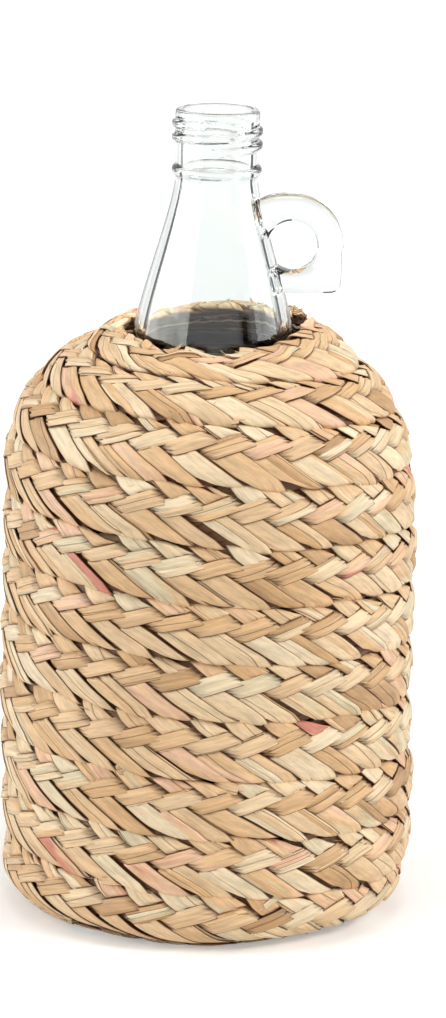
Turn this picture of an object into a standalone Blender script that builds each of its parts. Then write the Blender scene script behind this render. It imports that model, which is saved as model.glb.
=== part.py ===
"""Glass jug used as a vase, in a sewn cover of plaited seagrass.

Metres, +Z up. The origin is the middle of the face that the vase stands on.
The glass is hollow and open at its mouth. It has a screw finish, a bead under it and a
moulded ring handle on its +X side. One flat plait lies in a spiral under the glass, and a
second one is wound edge to edge up the wall and over the shoulder. Sewing thread lies in
the groove behind each seam.
"""

from math import cos, hypot, pi, radians, sin, tau

import bmesh
import bpy
import numpy as np
from mathutils import Vector
from mathutils.geometry import interpolate_bezier

# Clearance between pieces that touch
CLEARANCE = 0.0003

# Plait, a flat strip that is thin along both edges and narrow at both ends
PLAIT_WIDTH = 0.0236
PLAIT_THICKNESS = 0.0065
PLAIT_TIP_WIDTH = 0.006
ROW_GAP = 0.0006
FOOT_CUT = 0.0005
EDGE_RUN_SHARE = 1 / 6
STEP_OVER_SHARE = 1 / 6
POINTS_PER_TURN = 24
COVER_START_ANGLE = radians(-135)
MAT_START_ANGLE = radians(90)
MAT_HUB_RADIUS = 0.0015

# Sewing thread
THREAD_RADIUS = 0.0005
THREAD_SIDES = 5

# Glass body, from its foot upwards
BODY_RADIUS = 0.078
BODY_WALL = 0.0035
BASE_THICKNESS = 0.005
HEEL_RADIUS = 0.014
PUSH_UP_RADIUS = 0.052
PUSH_UP_RISE = 0.004
WALL_HEIGHT = 0.1797
SHOULDER_RISE = 0.0483
SHOULDER_LOW_ARM = 0.030
SHOULDER_HIGH_ARM_SHARES = (0.485, 0.077)
FILLET_RUN = 0.005
FILLET_RISE = 0.0062
FILLET_LOW_ARM_SHARES = (0.60, 0.08)
FILLET_HIGH_ARM_SHARES = (0.06, 0.48)
CONE_FOOT_RADIUS = 0.0334
CONE_RISE = 0.0655
CONE_WALL = 0.0048
CONE_LOW_ARM_SHARES = (0.092, 0.237)
CONE_HIGH_ARM_SHARES = (0.086, 0.229)

# Neck and screw finish
NECK_RADIUS = 0.0171
NECK_WALL = 0.0033
FINISH_RADIUS = 0.0174
FINISH_LENGTH = 0.029
LIP_ROUNDING = 0.0009
BEAD_DROP = 0.025
BEAD_DEPTH = 0.0012
BEAD_HALF_HEIGHT = 0.0018
SCREW_DROP = 0.0048
SCREW_PITCH = 0.0056
SCREW_TURNS = 2
SCREW_DEPTH = 0.00135
SCREW_WIDTH = 0.0040
SCREW_SINK = 0.0008
SCREW_CREST_SHARE = 0.4
SCREW_RUN_OUT_SHARE = 0.12
SCREW_START_ANGLE = radians(-105)

# Ring handle
HOLE_RADIUS = 0.01025
HOLE_RISE = 0.0389
HOLE_BITE = 0.0021
RING_WIDTH = 0.0112
RING_THICKNESS = 0.013
RING_ROUNDING = 0.003
RING_FOOT_DROP = 0.0196
RING_FOOT_REACH = 0.0207
RING_FOOT_POWER = 10
RING_TOP_POWER = 2.6
RING_ROOT_SHARE = 0.65
RING_STEPS = 36

# Cover, a bed for the plait that lies on the glass or bridges its hollows
COVER_HEEL_RADIUS = 0.0115
COVER_HEEL_LAP = 0.004
COVER_RIM_STANDOFF = 0.0004
COVER_RIM_CLIMB = 0.0077
COVER_HIGH_ARM_SHARES = (0.547, 0.193)

# Fineness of the outlines
HEEL_POINTS = 4
SHOULDER_POINTS = 7
FILLET_POINTS = 4
CONE_POINTS = 7
COURSE_POINTS = 40

# Values that follow from the ones above
PLAIT_PITCH = PLAIT_WIDTH + ROW_GAP
RING_SHARE = 1 / cos(pi / POINTS_PER_TURN)
GLASS_SEGMENTS = 2 * POINTS_PER_TURN
GLASS_FOOT = PLAIT_THICKNESS - FOOT_CUT + CLEARANCE
WALL_TOP = GLASS_FOOT + WALL_HEIGHT
SHOULDER_TOP = WALL_TOP + SHOULDER_RISE
CONE_FOOT = SHOULDER_TOP + FILLET_RISE
NECK_FOOT = CONE_FOOT + CONE_RISE
LIP = NECK_FOOT + FINISH_LENGTH
BORE_RADIUS = NECK_RADIUS - NECK_WALL
PLAIT_MIDDLE = CLEARANCE + PLAIT_THICKNESS / 2


def clear_scene():
    """Remove every object that the scene starts with."""
    for item in list(bpy.data.objects):
        bpy.data.objects.remove(item, do_unlink=True)


def paint(name, colour, roughness, transmission=0.0):
    """Principled material of one colour."""
    material = bpy.data.materials.new(name)
    material.use_nodes = True
    shader = material.node_tree.nodes["Principled BSDF"]
    shader.inputs["Base Color"].default_value = (*colour, 1.0)
    shader.inputs["Roughness"].default_value = roughness
    shader.inputs["Metallic"].default_value = 0.0
    shader.inputs["Transmission Weight"].default_value = transmission
    material.diffuse_color = (*colour, 1.0)
    return material


def add_object(name, mesh, material=None, smooth_angle=40):
    """Turn a bmesh into a named object with smooth faces and sharp creases."""
    data = bpy.data.meshes.new(name)
    mesh.to_mesh(data)
    mesh.free()
    data.shade_smooth()
    data.set_sharp_from_angle(angle=radians(smooth_angle))
    item = bpy.data.objects.new(name, data)
    bpy.context.scene.collection.objects.link(item)
    if material:
        data.materials.append(material)
    return item


def as_guide(item):
    """Mark an object that only shapes another one."""
    item.hide_render = True
    item.display_type = "WIRE"
    return item


def fuse(item, guide):
    """Join a guide's shape to an object."""
    modifier = item.modifiers.new(guide.name, "BOOLEAN")
    modifier.operation = "UNION"
    modifier.object = as_guide(guide)


def swept(rings, closed=False):
    """Closed body through rings of points, which close on each other or get end caps."""
    mesh = bmesh.new()
    loops = [[mesh.verts.new(point) for point in ring] for ring in rings]
    followers = loops[1:] + loops[:1] if closed else loops[1:]
    for low, high in zip(loops, followers):
        for i in range(len(low)):
            mesh.faces.new((low[i - 1], low[i], high[i], high[i - 1]))
    if not closed:
        mesh.faces.new(loops[0])
        mesh.faces.new(loops[-1])
    bmesh.ops.recalc_face_normals(mesh, faces=mesh.faces)
    return mesh


def turned(outline, segments):
    """Body of revolution from an outline that starts and ends on the axis."""
    mesh = bmesh.new()
    verts = [mesh.verts.new((radius, 0.0, height)) for radius, height in outline]
    edges = [mesh.edges.new(pair) for pair in zip(verts, verts[1:])]
    bmesh.ops.spin(mesh, geom=verts + edges, cent=(0, 0, 0), axis=(0, 0, 1), angle=tau,
                   steps=segments, use_merge=True, use_duplicate=False)
    bmesh.ops.remove_doubles(mesh, verts=mesh.verts, dist=CLEARANCE / 100)
    bmesh.ops.recalc_face_normals(mesh, faces=mesh.faces)
    return mesh


def curve(start, start_arm, end_arm, end, count):
    """Points of a Bezier curve between two (radius, height) points with arms from each."""
    knots = [Vector(start), Vector(start) + Vector(start_arm), Vector(end) + Vector(end_arm), Vector(end)]
    return [tuple(point) for point in interpolate_bezier(*[k.to_3d() for k in knots], count)]


def plane_curve(start, start_arm, end_arm, end, count):
    """The same curve as (radius, height) pairs."""
    return [(x, y) for x, y, _ in curve(start, start_arm, end_arm, end, count)]


def arc(centre, radius, first, last, count):
    """Points of an arc in the (radius, height) half plane."""
    angles = np.linspace(first, last, count)
    return [(centre[0] + radius * cos(a), centre[1] + radius * sin(a)) for a in angles]


def normals(points):
    """Unit normals of an outline, on the right of its direction of travel."""
    steps = np.gradient(np.array(points), axis=0)
    lengths = np.hypot(steps[:, 0], steps[:, 1])
    return np.stack([steps[:, 1] / lengths, -steps[:, 0] / lengths], axis=1)


def shoulder_outline():
    """Outside of the glass shoulder, from the wall to the fillet under the cone."""
    end_radius = CONE_FOOT_RADIUS + FILLET_RUN
    run = BODY_RADIUS - end_radius
    out_share, down_share = SHOULDER_HIGH_ARM_SHARES
    return plane_curve((BODY_RADIUS, WALL_TOP), (0, SHOULDER_LOW_ARM),
                       (out_share * run, -down_share * SHOULDER_RISE),
                       (end_radius, SHOULDER_TOP), SHOULDER_POINTS)


def fillet_outline():
    """Hollow bend between the shoulder and the cone."""
    low_in, low_up = FILLET_LOW_ARM_SHARES
    high_out, high_down = FILLET_HIGH_ARM_SHARES
    return plane_curve((CONE_FOOT_RADIUS + FILLET_RUN, SHOULDER_TOP),
                       (-low_in * FILLET_RUN, low_up * FILLET_RISE),
                       (high_out * FILLET_RUN, -high_down * FILLET_RISE),
                       (CONE_FOOT_RADIUS, CONE_FOOT), FILLET_POINTS)


def cone_outline():
    """Outside of the long cone that leads from the shoulder to the neck."""
    run = CONE_FOOT_RADIUS - NECK_RADIUS
    low_in, low_up = CONE_LOW_ARM_SHARES
    high_out, high_down = CONE_HIGH_ARM_SHARES
    return plane_curve((CONE_FOOT_RADIUS, CONE_FOOT), (-low_in * run, low_up * CONE_RISE),
                       (high_out * run, -high_down * CONE_RISE), (NECK_RADIUS, NECK_FOOT), CONE_POINTS)


def cone_radius(height):
    """Outside radius of the cone at a height."""
    outline = cone_outline()
    return float(np.interp(height, [z for _, z in outline], [r for r, _ in outline]))


def walled_outline():
    """Outside of the glass from its heel to its neck, with the wall behind each point."""
    heel_centre = (BODY_RADIUS - HEEL_RADIUS, GLASS_FOOT + HEEL_RADIUS)
    heel = arc(heel_centre, HEEL_RADIUS, -pi / 2, 0, HEEL_POINTS)
    shoulder, fillet, cone = shoulder_outline(), fillet_outline(), cone_outline()
    points = heel + shoulder + fillet[1:] + cone[1:]
    heights = (WALL_TOP, SHOULDER_TOP, CONE_FOOT, NECK_FOOT)
    walls = np.interp([z for _, z in points], heights, (BODY_WALL, CONE_WALL, CONE_WALL, NECK_WALL))
    return points, walls


def finish_outline():
    """Outside of the neck above the cone: bead, straight finish and rounded lip."""
    bead = LIP - BEAD_DROP
    crest = FINISH_RADIUS + BEAD_DEPTH
    flank = FINISH_RADIUS + BEAD_DEPTH * cos(pi / 4)
    rise = BEAD_HALF_HEIGHT * sin(pi / 4)
    return [(NECK_RADIUS, bead - BEAD_HALF_HEIGHT), (flank, bead - rise), (crest, bead),
            (flank, bead + rise), (FINISH_RADIUS, bead + BEAD_HALF_HEIGHT),
            (FINISH_RADIUS, LIP - LIP_ROUNDING), (FINISH_RADIUS - LIP_ROUNDING, LIP),
            (BORE_RADIUS + LIP_ROUNDING, LIP), (BORE_RADIUS, LIP - LIP_ROUNDING)]


def glass_outline():
    """Whole outline of the jug, from the middle of its foot round to the middle of its floor."""
    outside, walls = walled_outline()
    inside = [(r - wall * nr, z - wall * nz)
              for (r, z), (nr, nz), wall in zip(outside, normals(outside), walls)]
    floor = GLASS_FOOT + BASE_THICKNESS
    first_radius = outside[0][0]
    inside[0] = (first_radius, floor)
    foot = [(0, GLASS_FOOT + PUSH_UP_RISE), (PUSH_UP_RADIUS / 2, GLASS_FOOT + PUSH_UP_RISE * cos(pi / 6)),
            (PUSH_UP_RADIUS, GLASS_FOOT)]
    bed = [(PUSH_UP_RADIUS, floor), (PUSH_UP_RADIUS / 2, floor + PUSH_UP_RISE * cos(pi / 6)),
           (0, floor + PUSH_UP_RISE)]
    inside[-1] = (BORE_RADIUS, NECK_FOOT)
    return foot + outside + finish_outline() + inside[::-1] + bed


def rounded_reach(across, up, width, height, power):
    """Distance to a round-cornered box of these half sizes; power 2 is an ellipse."""
    return ((abs(across) / width) ** power + (abs(up) / height) ** power) ** (-1 / power)


def ring_reach(angle, centre):
    """How far the handle's outline lies from the middle of its hole, in one direction."""
    ring = HOLE_RADIUS + RING_WIDTH
    across, up = cos(angle), sin(angle)
    if across >= 0 and up >= 0:
        return ring
    if across >= 0:
        return rounded_reach(across, up, RING_FOOT_REACH, RING_FOOT_DROP, RING_FOOT_POWER)
    low, high = centre[1] - RING_FOOT_DROP, centre[1] + ring
    low_radius = cone_radius(low) - CONE_WALL * RING_ROOT_SHARE
    high_radius = cone_radius(high) - NECK_WALL * RING_ROOT_SHARE
    slope = (high_radius - low_radius) / (high - low)
    outline = rounded_reach(across, up, ring, ring, RING_TOP_POWER)
    if up < 0:
        outline = rounded_reach(0, up, ring, RING_FOOT_DROP, RING_FOOT_POWER)
    closing = slope * up - across
    wall = (centre[0] - low_radius - slope * (centre[1] - low)) / closing if closing > 0 else outline
    return min(outline, wall)


def ring_section(angle, centre):
    """Rounded section of the handle in one direction from the middle of its hole."""
    reach = ring_reach(angle, centre)
    corner = min(RING_ROUNDING, (reach - HOLE_RADIUS) / 3)
    half = RING_THICKNESS / 2
    side = half - RING_ROUNDING
    section = [(HOLE_RADIUS, -side), (HOLE_RADIUS, side), (HOLE_RADIUS + corner, half), (reach - corner, half),
               (reach, side), (reach, -side), (reach - corner, -half), (HOLE_RADIUS + corner, -half)]
    return [(centre[0] + d * cos(angle), y, centre[1] + d * sin(angle)) for d, y in section]


def build_ring_handle():
    """Ring for one finger, whose hole ends at the cone and whose root lies in its wall."""
    height = CONE_FOOT + HOLE_RISE
    centre = (cone_radius(height) + HOLE_RADIUS - HOLE_BITE, height)
    angles = [tau * i / RING_STEPS for i in range(RING_STEPS)]
    return add_object("handle_form", swept([ring_section(a, centre) for a in angles], closed=True))


def build_screw():
    """Ridge of the screw finish, which climbs to the right and runs out at both ends."""
    steps = SCREW_TURNS * POINTS_PER_TURN
    rings = []
    for i in range(steps + 1):
        turn = i / POINTS_PER_TURN
        angle = SCREW_START_ANGLE - tau * turn
        to_end = min(turn, SCREW_TURNS - turn) / SCREW_RUN_OUT_SHARE
        crest = -SCREW_SINK / 2 + (SCREW_DEPTH + SCREW_SINK / 2) * min(1.0, to_end)
        height = LIP - SCREW_DROP - SCREW_PITCH * turn
        half, top = SCREW_WIDTH / 2, SCREW_CREST_SHARE * SCREW_WIDTH / 2
        section = [(-SCREW_SINK, -half), (crest, -top), (crest, top), (-SCREW_SINK, half)]
        rings.append([((FINISH_RADIUS + out) * cos(angle), (FINISH_RADIUS + out) * sin(angle), height + up)
                      for out, up in section])
    return add_object("screw_form", swept(rings))


def build_glass_jug():
    """Hollow jug with its screw finish and ring handle in one piece."""
    glass = paint("clear_glass", (0.86, 0.92, 0.88), 0.05, transmission=0.9)
    jug = add_object("glass_jug", turned(glass_outline(), GLASS_SEGMENTS), glass, smooth_angle=35)
    fuse(jug, build_screw())
    fuse(jug, build_ring_handle())
    return jug


class Course:
    """Line in the (radius, height) half plane that the middle of the plait follows."""

    def __init__(self, points):
        self.points = np.array(points)
        self.normals = normals(points)
        steps = np.diff(self.points, axis=0)
        self.lengths = np.concatenate([[0.0], np.cumsum(np.hypot(steps[:, 0], steps[:, 1]))])
        self.length = float(self.lengths[-1])

    def place(self, along, out):
        """Point at a length along the course and a distance out from it."""
        point = [np.interp(along, self.lengths, self.points[:, i]) for i in (0, 1)]
        normal = [np.interp(along, self.lengths, self.normals[:, i]) for i in (0, 1)]
        size = hypot(*normal)
        return point[0] + out * normal[0] / size, point[1] + out * normal[1] / size


def offset(points, distance):
    """Outline moved out along its normals."""
    return [(r + distance * nr, z + distance * nz) for (r, z), (nr, nz) in zip(points, normals(points))]


def cover_course():
    """Middle of the plait from the base mat over the heel, up the wall and over the shoulder."""
    centre = (BODY_RADIUS - COVER_HEEL_RADIUS, GLASS_FOOT + COVER_HEEL_RADIUS)
    heel = arc(centre, COVER_HEEL_RADIUS, -pi / 2, 0, COURSE_POINTS)
    step = heel[-1][1] - heel[-2][1]
    wall = [(BODY_RADIUS, z) for z in np.linspace(heel[-1][1] + step, WALL_TOP - step, COURSE_POINTS)]
    rim_radius = CONE_FOOT_RADIUS + COVER_RIM_STANDOFF
    rim_rise = SHOULDER_RISE + COVER_RIM_CLIMB
    out_share, down_share = COVER_HIGH_ARM_SHARES
    shoulder = plane_curve((BODY_RADIUS, WALL_TOP), (0, SHOULDER_LOW_ARM),
                           (out_share * (BODY_RADIUS - rim_radius), -down_share * rim_rise),
                           (rim_radius, WALL_TOP + rim_rise), COURSE_POINTS)
    return Course(offset(heel + wall + shoulder, PLAIT_MIDDLE))


def mat_course(reach):
    """Middle of the plait under the glass, from the axis outwards."""
    height = GLASS_FOOT - PLAIT_MIDDLE
    return Course([(reach * share, height) for share in np.linspace(0, 1, COURSE_POINTS)])


class Winding:
    """Plait wound edge to edge between two lengths along a course.

    Its first turn widens from a narrow tip and its last turn narrows to one, so that the
    first and the last edge are level. The turns climb clockwise, seen from above.
    """

    def __init__(self, course, start, stop, start_angle):
        self.course, self.start, self.stop, self.start_angle = course, start, stop, start_angle
        turns = 1 + (stop - start - 2 * PLAIT_TIP_WIDTH - ROW_GAP) / PLAIT_PITCH
        self.steps = max(POINTS_PER_TURN, round(turns * POINTS_PER_TURN))

    def turn(self, step):
        """Turns wound after this many steps."""
        return step / POINTS_PER_TURN

    def lower(self, step):
        """Length along the course of the edge nearer to the start, which steps over the first tip."""
        turn = self.turn(step)
        stepped = min(1.0, max(0.0, (turn - 1 + STEP_OVER_SHARE) / STEP_OVER_SHARE))
        return self.start + (PLAIT_TIP_WIDTH + ROW_GAP) * stepped + PLAIT_PITCH * max(0.0, turn - 1)

    def upper(self, step):
        """Length along the course of the edge nearer to the end, which steps over the last tip."""
        last = self.turn(self.steps) - 1
        stepped = min(1.0, max(0.0, (self.turn(step) - last) / STEP_OVER_SHARE))
        climbed = self.start + PLAIT_TIP_WIDTH + PLAIT_PITCH * min(self.turn(step), last)
        return climbed + (self.stop - climbed) * stepped

    def width(self, step):
        """Width of the plait after this many steps."""
        return self.upper(step) - self.lower(step)

    def ring(self, step, section):
        """Points of a section of (length along, distance out) pairs at one step."""
        angle = self.start_angle - tau * self.turn(step)
        places = [self.course.place(along, out) for along, out in section]
        return [(r * RING_SHARE * cos(angle), r * RING_SHARE * sin(angle), z) for r, z in places]

    def plait_rings(self, cut=0.0):
        """Sections of the plait, whose outer face may be cut flat."""
        half = PLAIT_THICKNESS / 2
        face = half - cut
        rings = []
        for step in range(self.steps + 1):
            low, high = self.lower(step), self.upper(step)
            run, middle = EDGE_RUN_SHARE * (high - low), (low + high) / 2
            cut_run = run * face / half
            section = [(low, 0), (low + cut_run, face), (middle, face), (high - cut_run, face),
                       (high, 0), (high - run, -half), (middle, -half), (low + run, -half)]
            rings.append(self.ring(step, section))
        return rings

    def groove_depth(self, width):
        """Depth behind the plait's middle at which the thread clears an edge of this width."""
        run, half = EDGE_RUN_SHARE * width, PLAIT_THICKNESS / 2
        return ((THREAD_RADIUS + CLEARANCE) * hypot(run, half) - ROW_GAP / 2 * half) / run

    def thread_rings(self, first_step):
        """Sections of the thread behind the seams, from one step to the end."""
        rings = []
        for step in range(first_step, self.steps + 1):
            narrow = min(self.width(step), self.width(max(0, step - POINTS_PER_TURN)))
            depth = self.groove_depth(narrow)
            along = self.lower(step) - ROW_GAP / 2
            sides = [tau * i / THREAD_SIDES for i in range(THREAD_SIDES)]
            section = [(along + THREAD_RADIUS * cos(a), THREAD_RADIUS * sin(a) - depth) for a in sides]
            rings.append(self.ring(step, section))
        return rings


def half_plane(ring):
    """Points of a ring as (radius, height) pairs."""
    return [(hypot(x, y), z) for x, y, z in ring]


def point_gap(point, start, end):
    """Distance from a point to a stretch between two points of the half plane."""
    (px, py), (ax, ay), (bx, by) = point, start, end
    dx, dy = bx - ax, by - ay
    share = min(1.0, max(0.0, ((px - ax) * dx + (py - ay) * dy) / (dx * dx + dy * dy)))
    return hypot(px - ax - share * dx, py - ay - share * dy)


def ring_gap(first, second):
    """Least gap between two rings that lie in one half plane."""
    one, two = half_plane(first), half_plane(second)
    return min(min(point_gap(p, b[i - 1], b[i]) for p in a for i in range(len(b)))
               for a, b in ((one, two), (two, one)))


def report_least_gap(name, rings):
    """Print the least gap of a winding to its own next turn."""
    gaps = [ring_gap(low, high) for low, high in zip(rings, rings[POINTS_PER_TURN:])]
    print(f"{name}: {len(rings) / POINTS_PER_TURN:.2f} turns, least gap to itself {min(gaps) * 1000:.2f} mm")


def build_wound(name, rings, material):
    """Object made of one unbroken wound band or thread."""
    report_least_gap(name, rings)
    return add_object(name, swept(rings), material, smooth_angle=60)


def build_cover():
    """Base mat, wall cover and the threads that sew their turns together."""
    course = cover_course()
    cover = Winding(course, COVER_HEEL_LAP, course.length, COVER_START_ANGLE)
    mat_reach = course.place(COVER_HEEL_LAP, 0)[0] - ROW_GAP
    mat = Winding(mat_course(mat_reach), MAT_HUB_RADIUS, mat_reach, MAT_START_ANGLE)
    build_wound("base_mat", mat.plait_rings(cut=FOOT_CUT), paint("mat_seagrass", (0.52, 0.33, 0.17), 0.75))
    build_wound("plait_winding", cover.plait_rings(), paint("cover_seagrass", (0.62, 0.42, 0.24), 0.7))
    build_wound("mat_thread", mat.thread_rings(POINTS_PER_TURN), paint("mat_twine", (0.55, 0.42, 0.28), 0.8))
    build_wound("cover_thread", cover.thread_rings(0), paint("cover_twine", (0.60, 0.47, 0.32), 0.8))


def main():
    """Build the whole vase."""
    clear_scene()
    build_glass_jug()
    build_cover()


main()
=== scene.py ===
"""Woven glass vase: a clear glass jug in a sewn spiral cover of plaited seagrass.

Metres, +Z up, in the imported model's frame. The plait is seven strands of dry leaf, which
cross in a slanting weave and fold back at both edges. It lies in a spiral under the jug and
climbs edge to edge over the wall and the shoulder. Twine runs in the grooves behind its
seams, and loose leaf ends and fibres stand out along the seams and at the rim.
"""

import logging
from collections.abc import Iterable, Mapping, Sequence
from dataclasses import dataclass
from enum import Enum
from math import cos, pi, radians, sin, tau

import bmesh
import bpy
import numpy as np
from mathutils import Matrix, Vector
from mathutils.geometry import interpolate_bezier


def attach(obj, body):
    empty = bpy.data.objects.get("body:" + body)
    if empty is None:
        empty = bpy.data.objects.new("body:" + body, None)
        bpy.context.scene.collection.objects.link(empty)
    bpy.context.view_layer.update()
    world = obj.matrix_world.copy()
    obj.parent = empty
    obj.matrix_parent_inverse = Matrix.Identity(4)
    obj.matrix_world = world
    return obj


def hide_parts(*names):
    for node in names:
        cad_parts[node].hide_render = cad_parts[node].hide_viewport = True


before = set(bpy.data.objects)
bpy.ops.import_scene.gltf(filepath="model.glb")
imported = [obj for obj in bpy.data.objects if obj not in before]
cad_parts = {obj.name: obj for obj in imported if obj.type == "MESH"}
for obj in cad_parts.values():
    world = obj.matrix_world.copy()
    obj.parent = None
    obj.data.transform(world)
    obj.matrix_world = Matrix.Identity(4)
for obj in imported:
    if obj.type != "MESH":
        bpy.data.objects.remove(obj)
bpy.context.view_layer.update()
LOG = logging.getLogger("vase")

Point = tuple[float, float]
Place = tuple[float, float, float]
Colour = tuple[float, float, float]


class Slot(Enum):
    """Names of the material slots."""

    GLASS = "clear_glass"
    SEAGRASS = "seagrass"
    TWINE = "twine"


class Part(Enum):
    """CAD nodes that the pieces stand for."""

    JUG = "glass_jug"
    MAT = "base_mat"
    COVER = "plait_winding"
    MAT_THREAD = "mat_thread"
    COVER_THREAD = "cover_thread"


# Node trees


@dataclass(frozen=True)
class Field:
    """Value that a node tree works out at every point, and that takes part in sums like a number."""

    tree: "Tree"
    socket: bpy.types.NodeSocket

    def __add__(self, other: "Field | float") -> "Field":
        """Sum."""
        return self.tree.math("ADD", self, other)

    __radd__ = __add__

    def __sub__(self, other: "Field | float") -> "Field":
        """Difference."""
        return self.tree.math("SUBTRACT", self, other)

    def __rsub__(self, other: float) -> "Field":
        """Difference from a number."""
        return self.tree.math("SUBTRACT", other, self)

    def __mul__(self, other: "Field | float") -> "Field":
        """Product."""
        return self.tree.math("MULTIPLY", self, other)

    __rmul__ = __mul__

    def __truediv__(self, other: "Field | float") -> "Field":
        """Quotient."""
        return self.tree.math("DIVIDE", self, other)

    def __pow__(self, power: float) -> "Field":
        """Power."""
        return self.tree.math("POWER", self, power)

    def __abs__(self) -> "Field":
        """Size without its sign."""
        return self.tree.math("ABSOLUTE", self)


class Tree:
    """Node tree under construction, with short ways to add nodes and links."""

    def __init__(self, data: bpy.types.NodeTree) -> None:
        """Keep the node tree that is added to."""
        self.data = data

    def feed(self, socket: bpy.types.NodeSocket, value: object) -> None:
        """Link something to a node's input, or set the input's own value.

        Args:
            socket: Input of a node.
            value: Field, output socket or plain value.
        """
        if isinstance(value, Field):
            self.data.links.new(value.socket, socket)
        elif isinstance(value, bpy.types.NodeSocket):
            self.data.links.new(value, socket)
        else:
            socket.default_value = value

    def node(self, kind: str, inputs: Mapping[str | int, object] | None = None,
             **settings: object) -> bpy.types.Node:
        """Add a node.

        Args:
            kind: Blender's name of the node type.
            inputs: Fields or values for its sockets, by name or place.
            settings: Properties of the node.

        Returns:
            The node.
        """
        made = self.data.nodes.new(kind)
        for name, value in settings.items():
            setattr(made, name, value)
        for name, value in (inputs or {}).items():
            self.feed(made.inputs[name], value)
        return made

    def out(self, node: bpy.types.Node, name: str | int = 0) -> Field:
        """Output of a node as a field."""
        return Field(self, node.outputs[name])

    def math(self, operation: str, *values: "Field | float") -> Field:
        """Result of a Math node."""
        return self.out(self.node("ShaderNodeMath", dict(enumerate(values)), operation=operation))

    def vector(self, operation: str, *values: object) -> Field:
        """Result of a Vector Math node."""
        return self.out(self.node("ShaderNodeVectorMath", dict(enumerate(values)), operation=operation))

    def combine(self, x: object, y: object, z: object) -> Field:
        """Vector from three numbers."""
        return self.out(self.node("ShaderNodeCombineXYZ", {0: x, 1: y, 2: z}))

    def separate(self, vector: Field) -> tuple[Field, Field, Field]:
        """Three numbers of a vector."""
        parts = self.node("ShaderNodeSeparateXYZ", {0: vector})
        return self.out(parts, 0), self.out(parts, 1), self.out(parts, 2)

    def clamp(self, value: Field, low: "Field | float" = 0.0, high: "Field | float" = 1.0) -> Field:
        """Value kept between two limits."""
        return self.out(self.node("ShaderNodeClamp", {0: value, 1: low, 2: high}))

    def ramp(self, value: Field, low: "Field | float", high: "Field | float", smooth: bool = True) -> Field:
        """Climb from 0 to 1 between two values."""
        return self.out(self.node("ShaderNodeMapRange", {"Value": value, "From Min": low, "From Max": high},
                                  interpolation_type="SMOOTHSTEP" if smooth else "LINEAR"))

    def noise(self, vector: object, scale: float, detail: float = 2.0, roughness: float = 0.5,
              output: str = "Fac") -> Field:
        """Soft noise at a vector, as a number or a colour."""
        made = self.node("ShaderNodeTexNoise", {"Vector": vector, "Scale": scale, "Detail": detail,
                                                "Roughness": roughness})
        return self.out(made, output)


class GroupTree(Tree):
    """Node group with named inputs."""

    KINDS = {float: "NodeSocketFloat", int: "NodeSocketInt", bpy.types.Mesh: "NodeSocketGeometry",
             bpy.types.Material: "NodeSocketMaterial"}

    def __init__(self, name: str, kind: str, inputs: Mapping[str, type]) -> None:
        """Start the group.

        Args:
            name: Name of the group.
            kind: Blender's name of the tree type.
            inputs: Type of each input, by name.
        """
        super().__init__(bpy.data.node_groups.new(name, kind))
        for label, value_type in inputs.items():
            self.data.interface.new_socket(label, in_out="INPUT", socket_type=self.KINDS[value_type])
        self.source = self.node("NodeGroupInput")

    def input(self, name: str) -> Field:
        """Named input of the group."""
        return Field(self, self.source.outputs[name])


@dataclass(frozen=True)
class Draw:
    """Random number of a leaf: its range, and its own place in the seed's order."""

    low: float
    high: float
    order: int


class GeometryTree(GroupTree):
    """Geometry node tree with one geometry input and one geometry output."""

    def __init__(self, name: str, inputs: Mapping[str, type]) -> None:
        """Start the tree.

        Args:
            name: Name of the tree.
            inputs: Type of each input, but for the geometry, seed and material that every tree has.
        """
        super().__init__(name, "GeometryNodeTree", {"Geometry": bpy.types.Mesh, **inputs, "Seed": int,
                                                    "Material": bpy.types.Material})
        self.data.interface.new_socket("Geometry", in_out="OUTPUT", socket_type="NodeSocketGeometry")

    def index(self) -> Field:
        """Number of each point."""
        return self.out(self.node("GeometryNodeInputIndex"))

    def position(self) -> Field:
        """Place of each point."""
        return self.out(self.node("GeometryNodeInputPosition"))

    def draw(self, draw: Draw, key: Field, salt: int = 0) -> Field:
        """Random number for each value of a key.

        Args:
            draw: Its range and order.
            key: Whole number that tells the leaves apart.
            salt: Offset of the order.

        Returns:
            The number.
        """
        seed = self.input("Seed") + (draw.order + salt)
        made = self.node("FunctionNodeRandomValue", {2: draw.low, 3: draw.high, "ID": key, "Seed": seed},
                         data_type="FLOAT")
        return self.out(made, 1)

    def store(self, geometry: Field, values: Mapping[str, Field], domain: str = "POINT") -> Field:
        """Geometry that carries numbers.

        Args:
            geometry: Geometry without them.
            values: The numbers, by name.
            domain: POINT for a number at each point, INSTANCE for one on each instance.

        Returns:
            Geometry with them.
        """
        for name, value in values.items():
            made = self.node("GeometryNodeStoreNamedAttribute",
                             {"Geometry": geometry, "Name": name, "Value": value},
                             data_type="FLOAT", domain=domain)
            geometry = self.out(made)
        return geometry

    def finish(self, geometry: Field) -> None:
        """End the tree in smooth real geometry with its material.

        Args:
            geometry: What the tree makes.
        """
        smooth = self.node("GeometryNodeSetShadeSmooth", {"Geometry": geometry})
        real = self.node("GeometryNodeRealizeInstances", {"Geometry": smooth.outputs[0]})
        dressed = self.node("GeometryNodeSetMaterial",
                            {"Geometry": real.outputs[0], "Material": self.input("Material")})
        self.node("NodeGroupOutput", {0: dressed.outputs[0]})


def field_values(owner: object, labels: Iterable[str]) -> dict[str, object]:
    """Values of an object's fields for the tree inputs that have their names."""
    return {label: getattr(owner, label.lower().replace(" ", "_")) for label in labels}


def in_scene(name: str, data: bpy.types.ID) -> bpy.types.Object:
    """Put an object in the scene.

    Args:
        name: Its name.
        data: Its mesh, lamp or camera.

    Returns:
        The object.
    """
    made = bpy.data.objects.new(name, data)
    bpy.context.scene.collection.objects.link(made)
    return made


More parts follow.
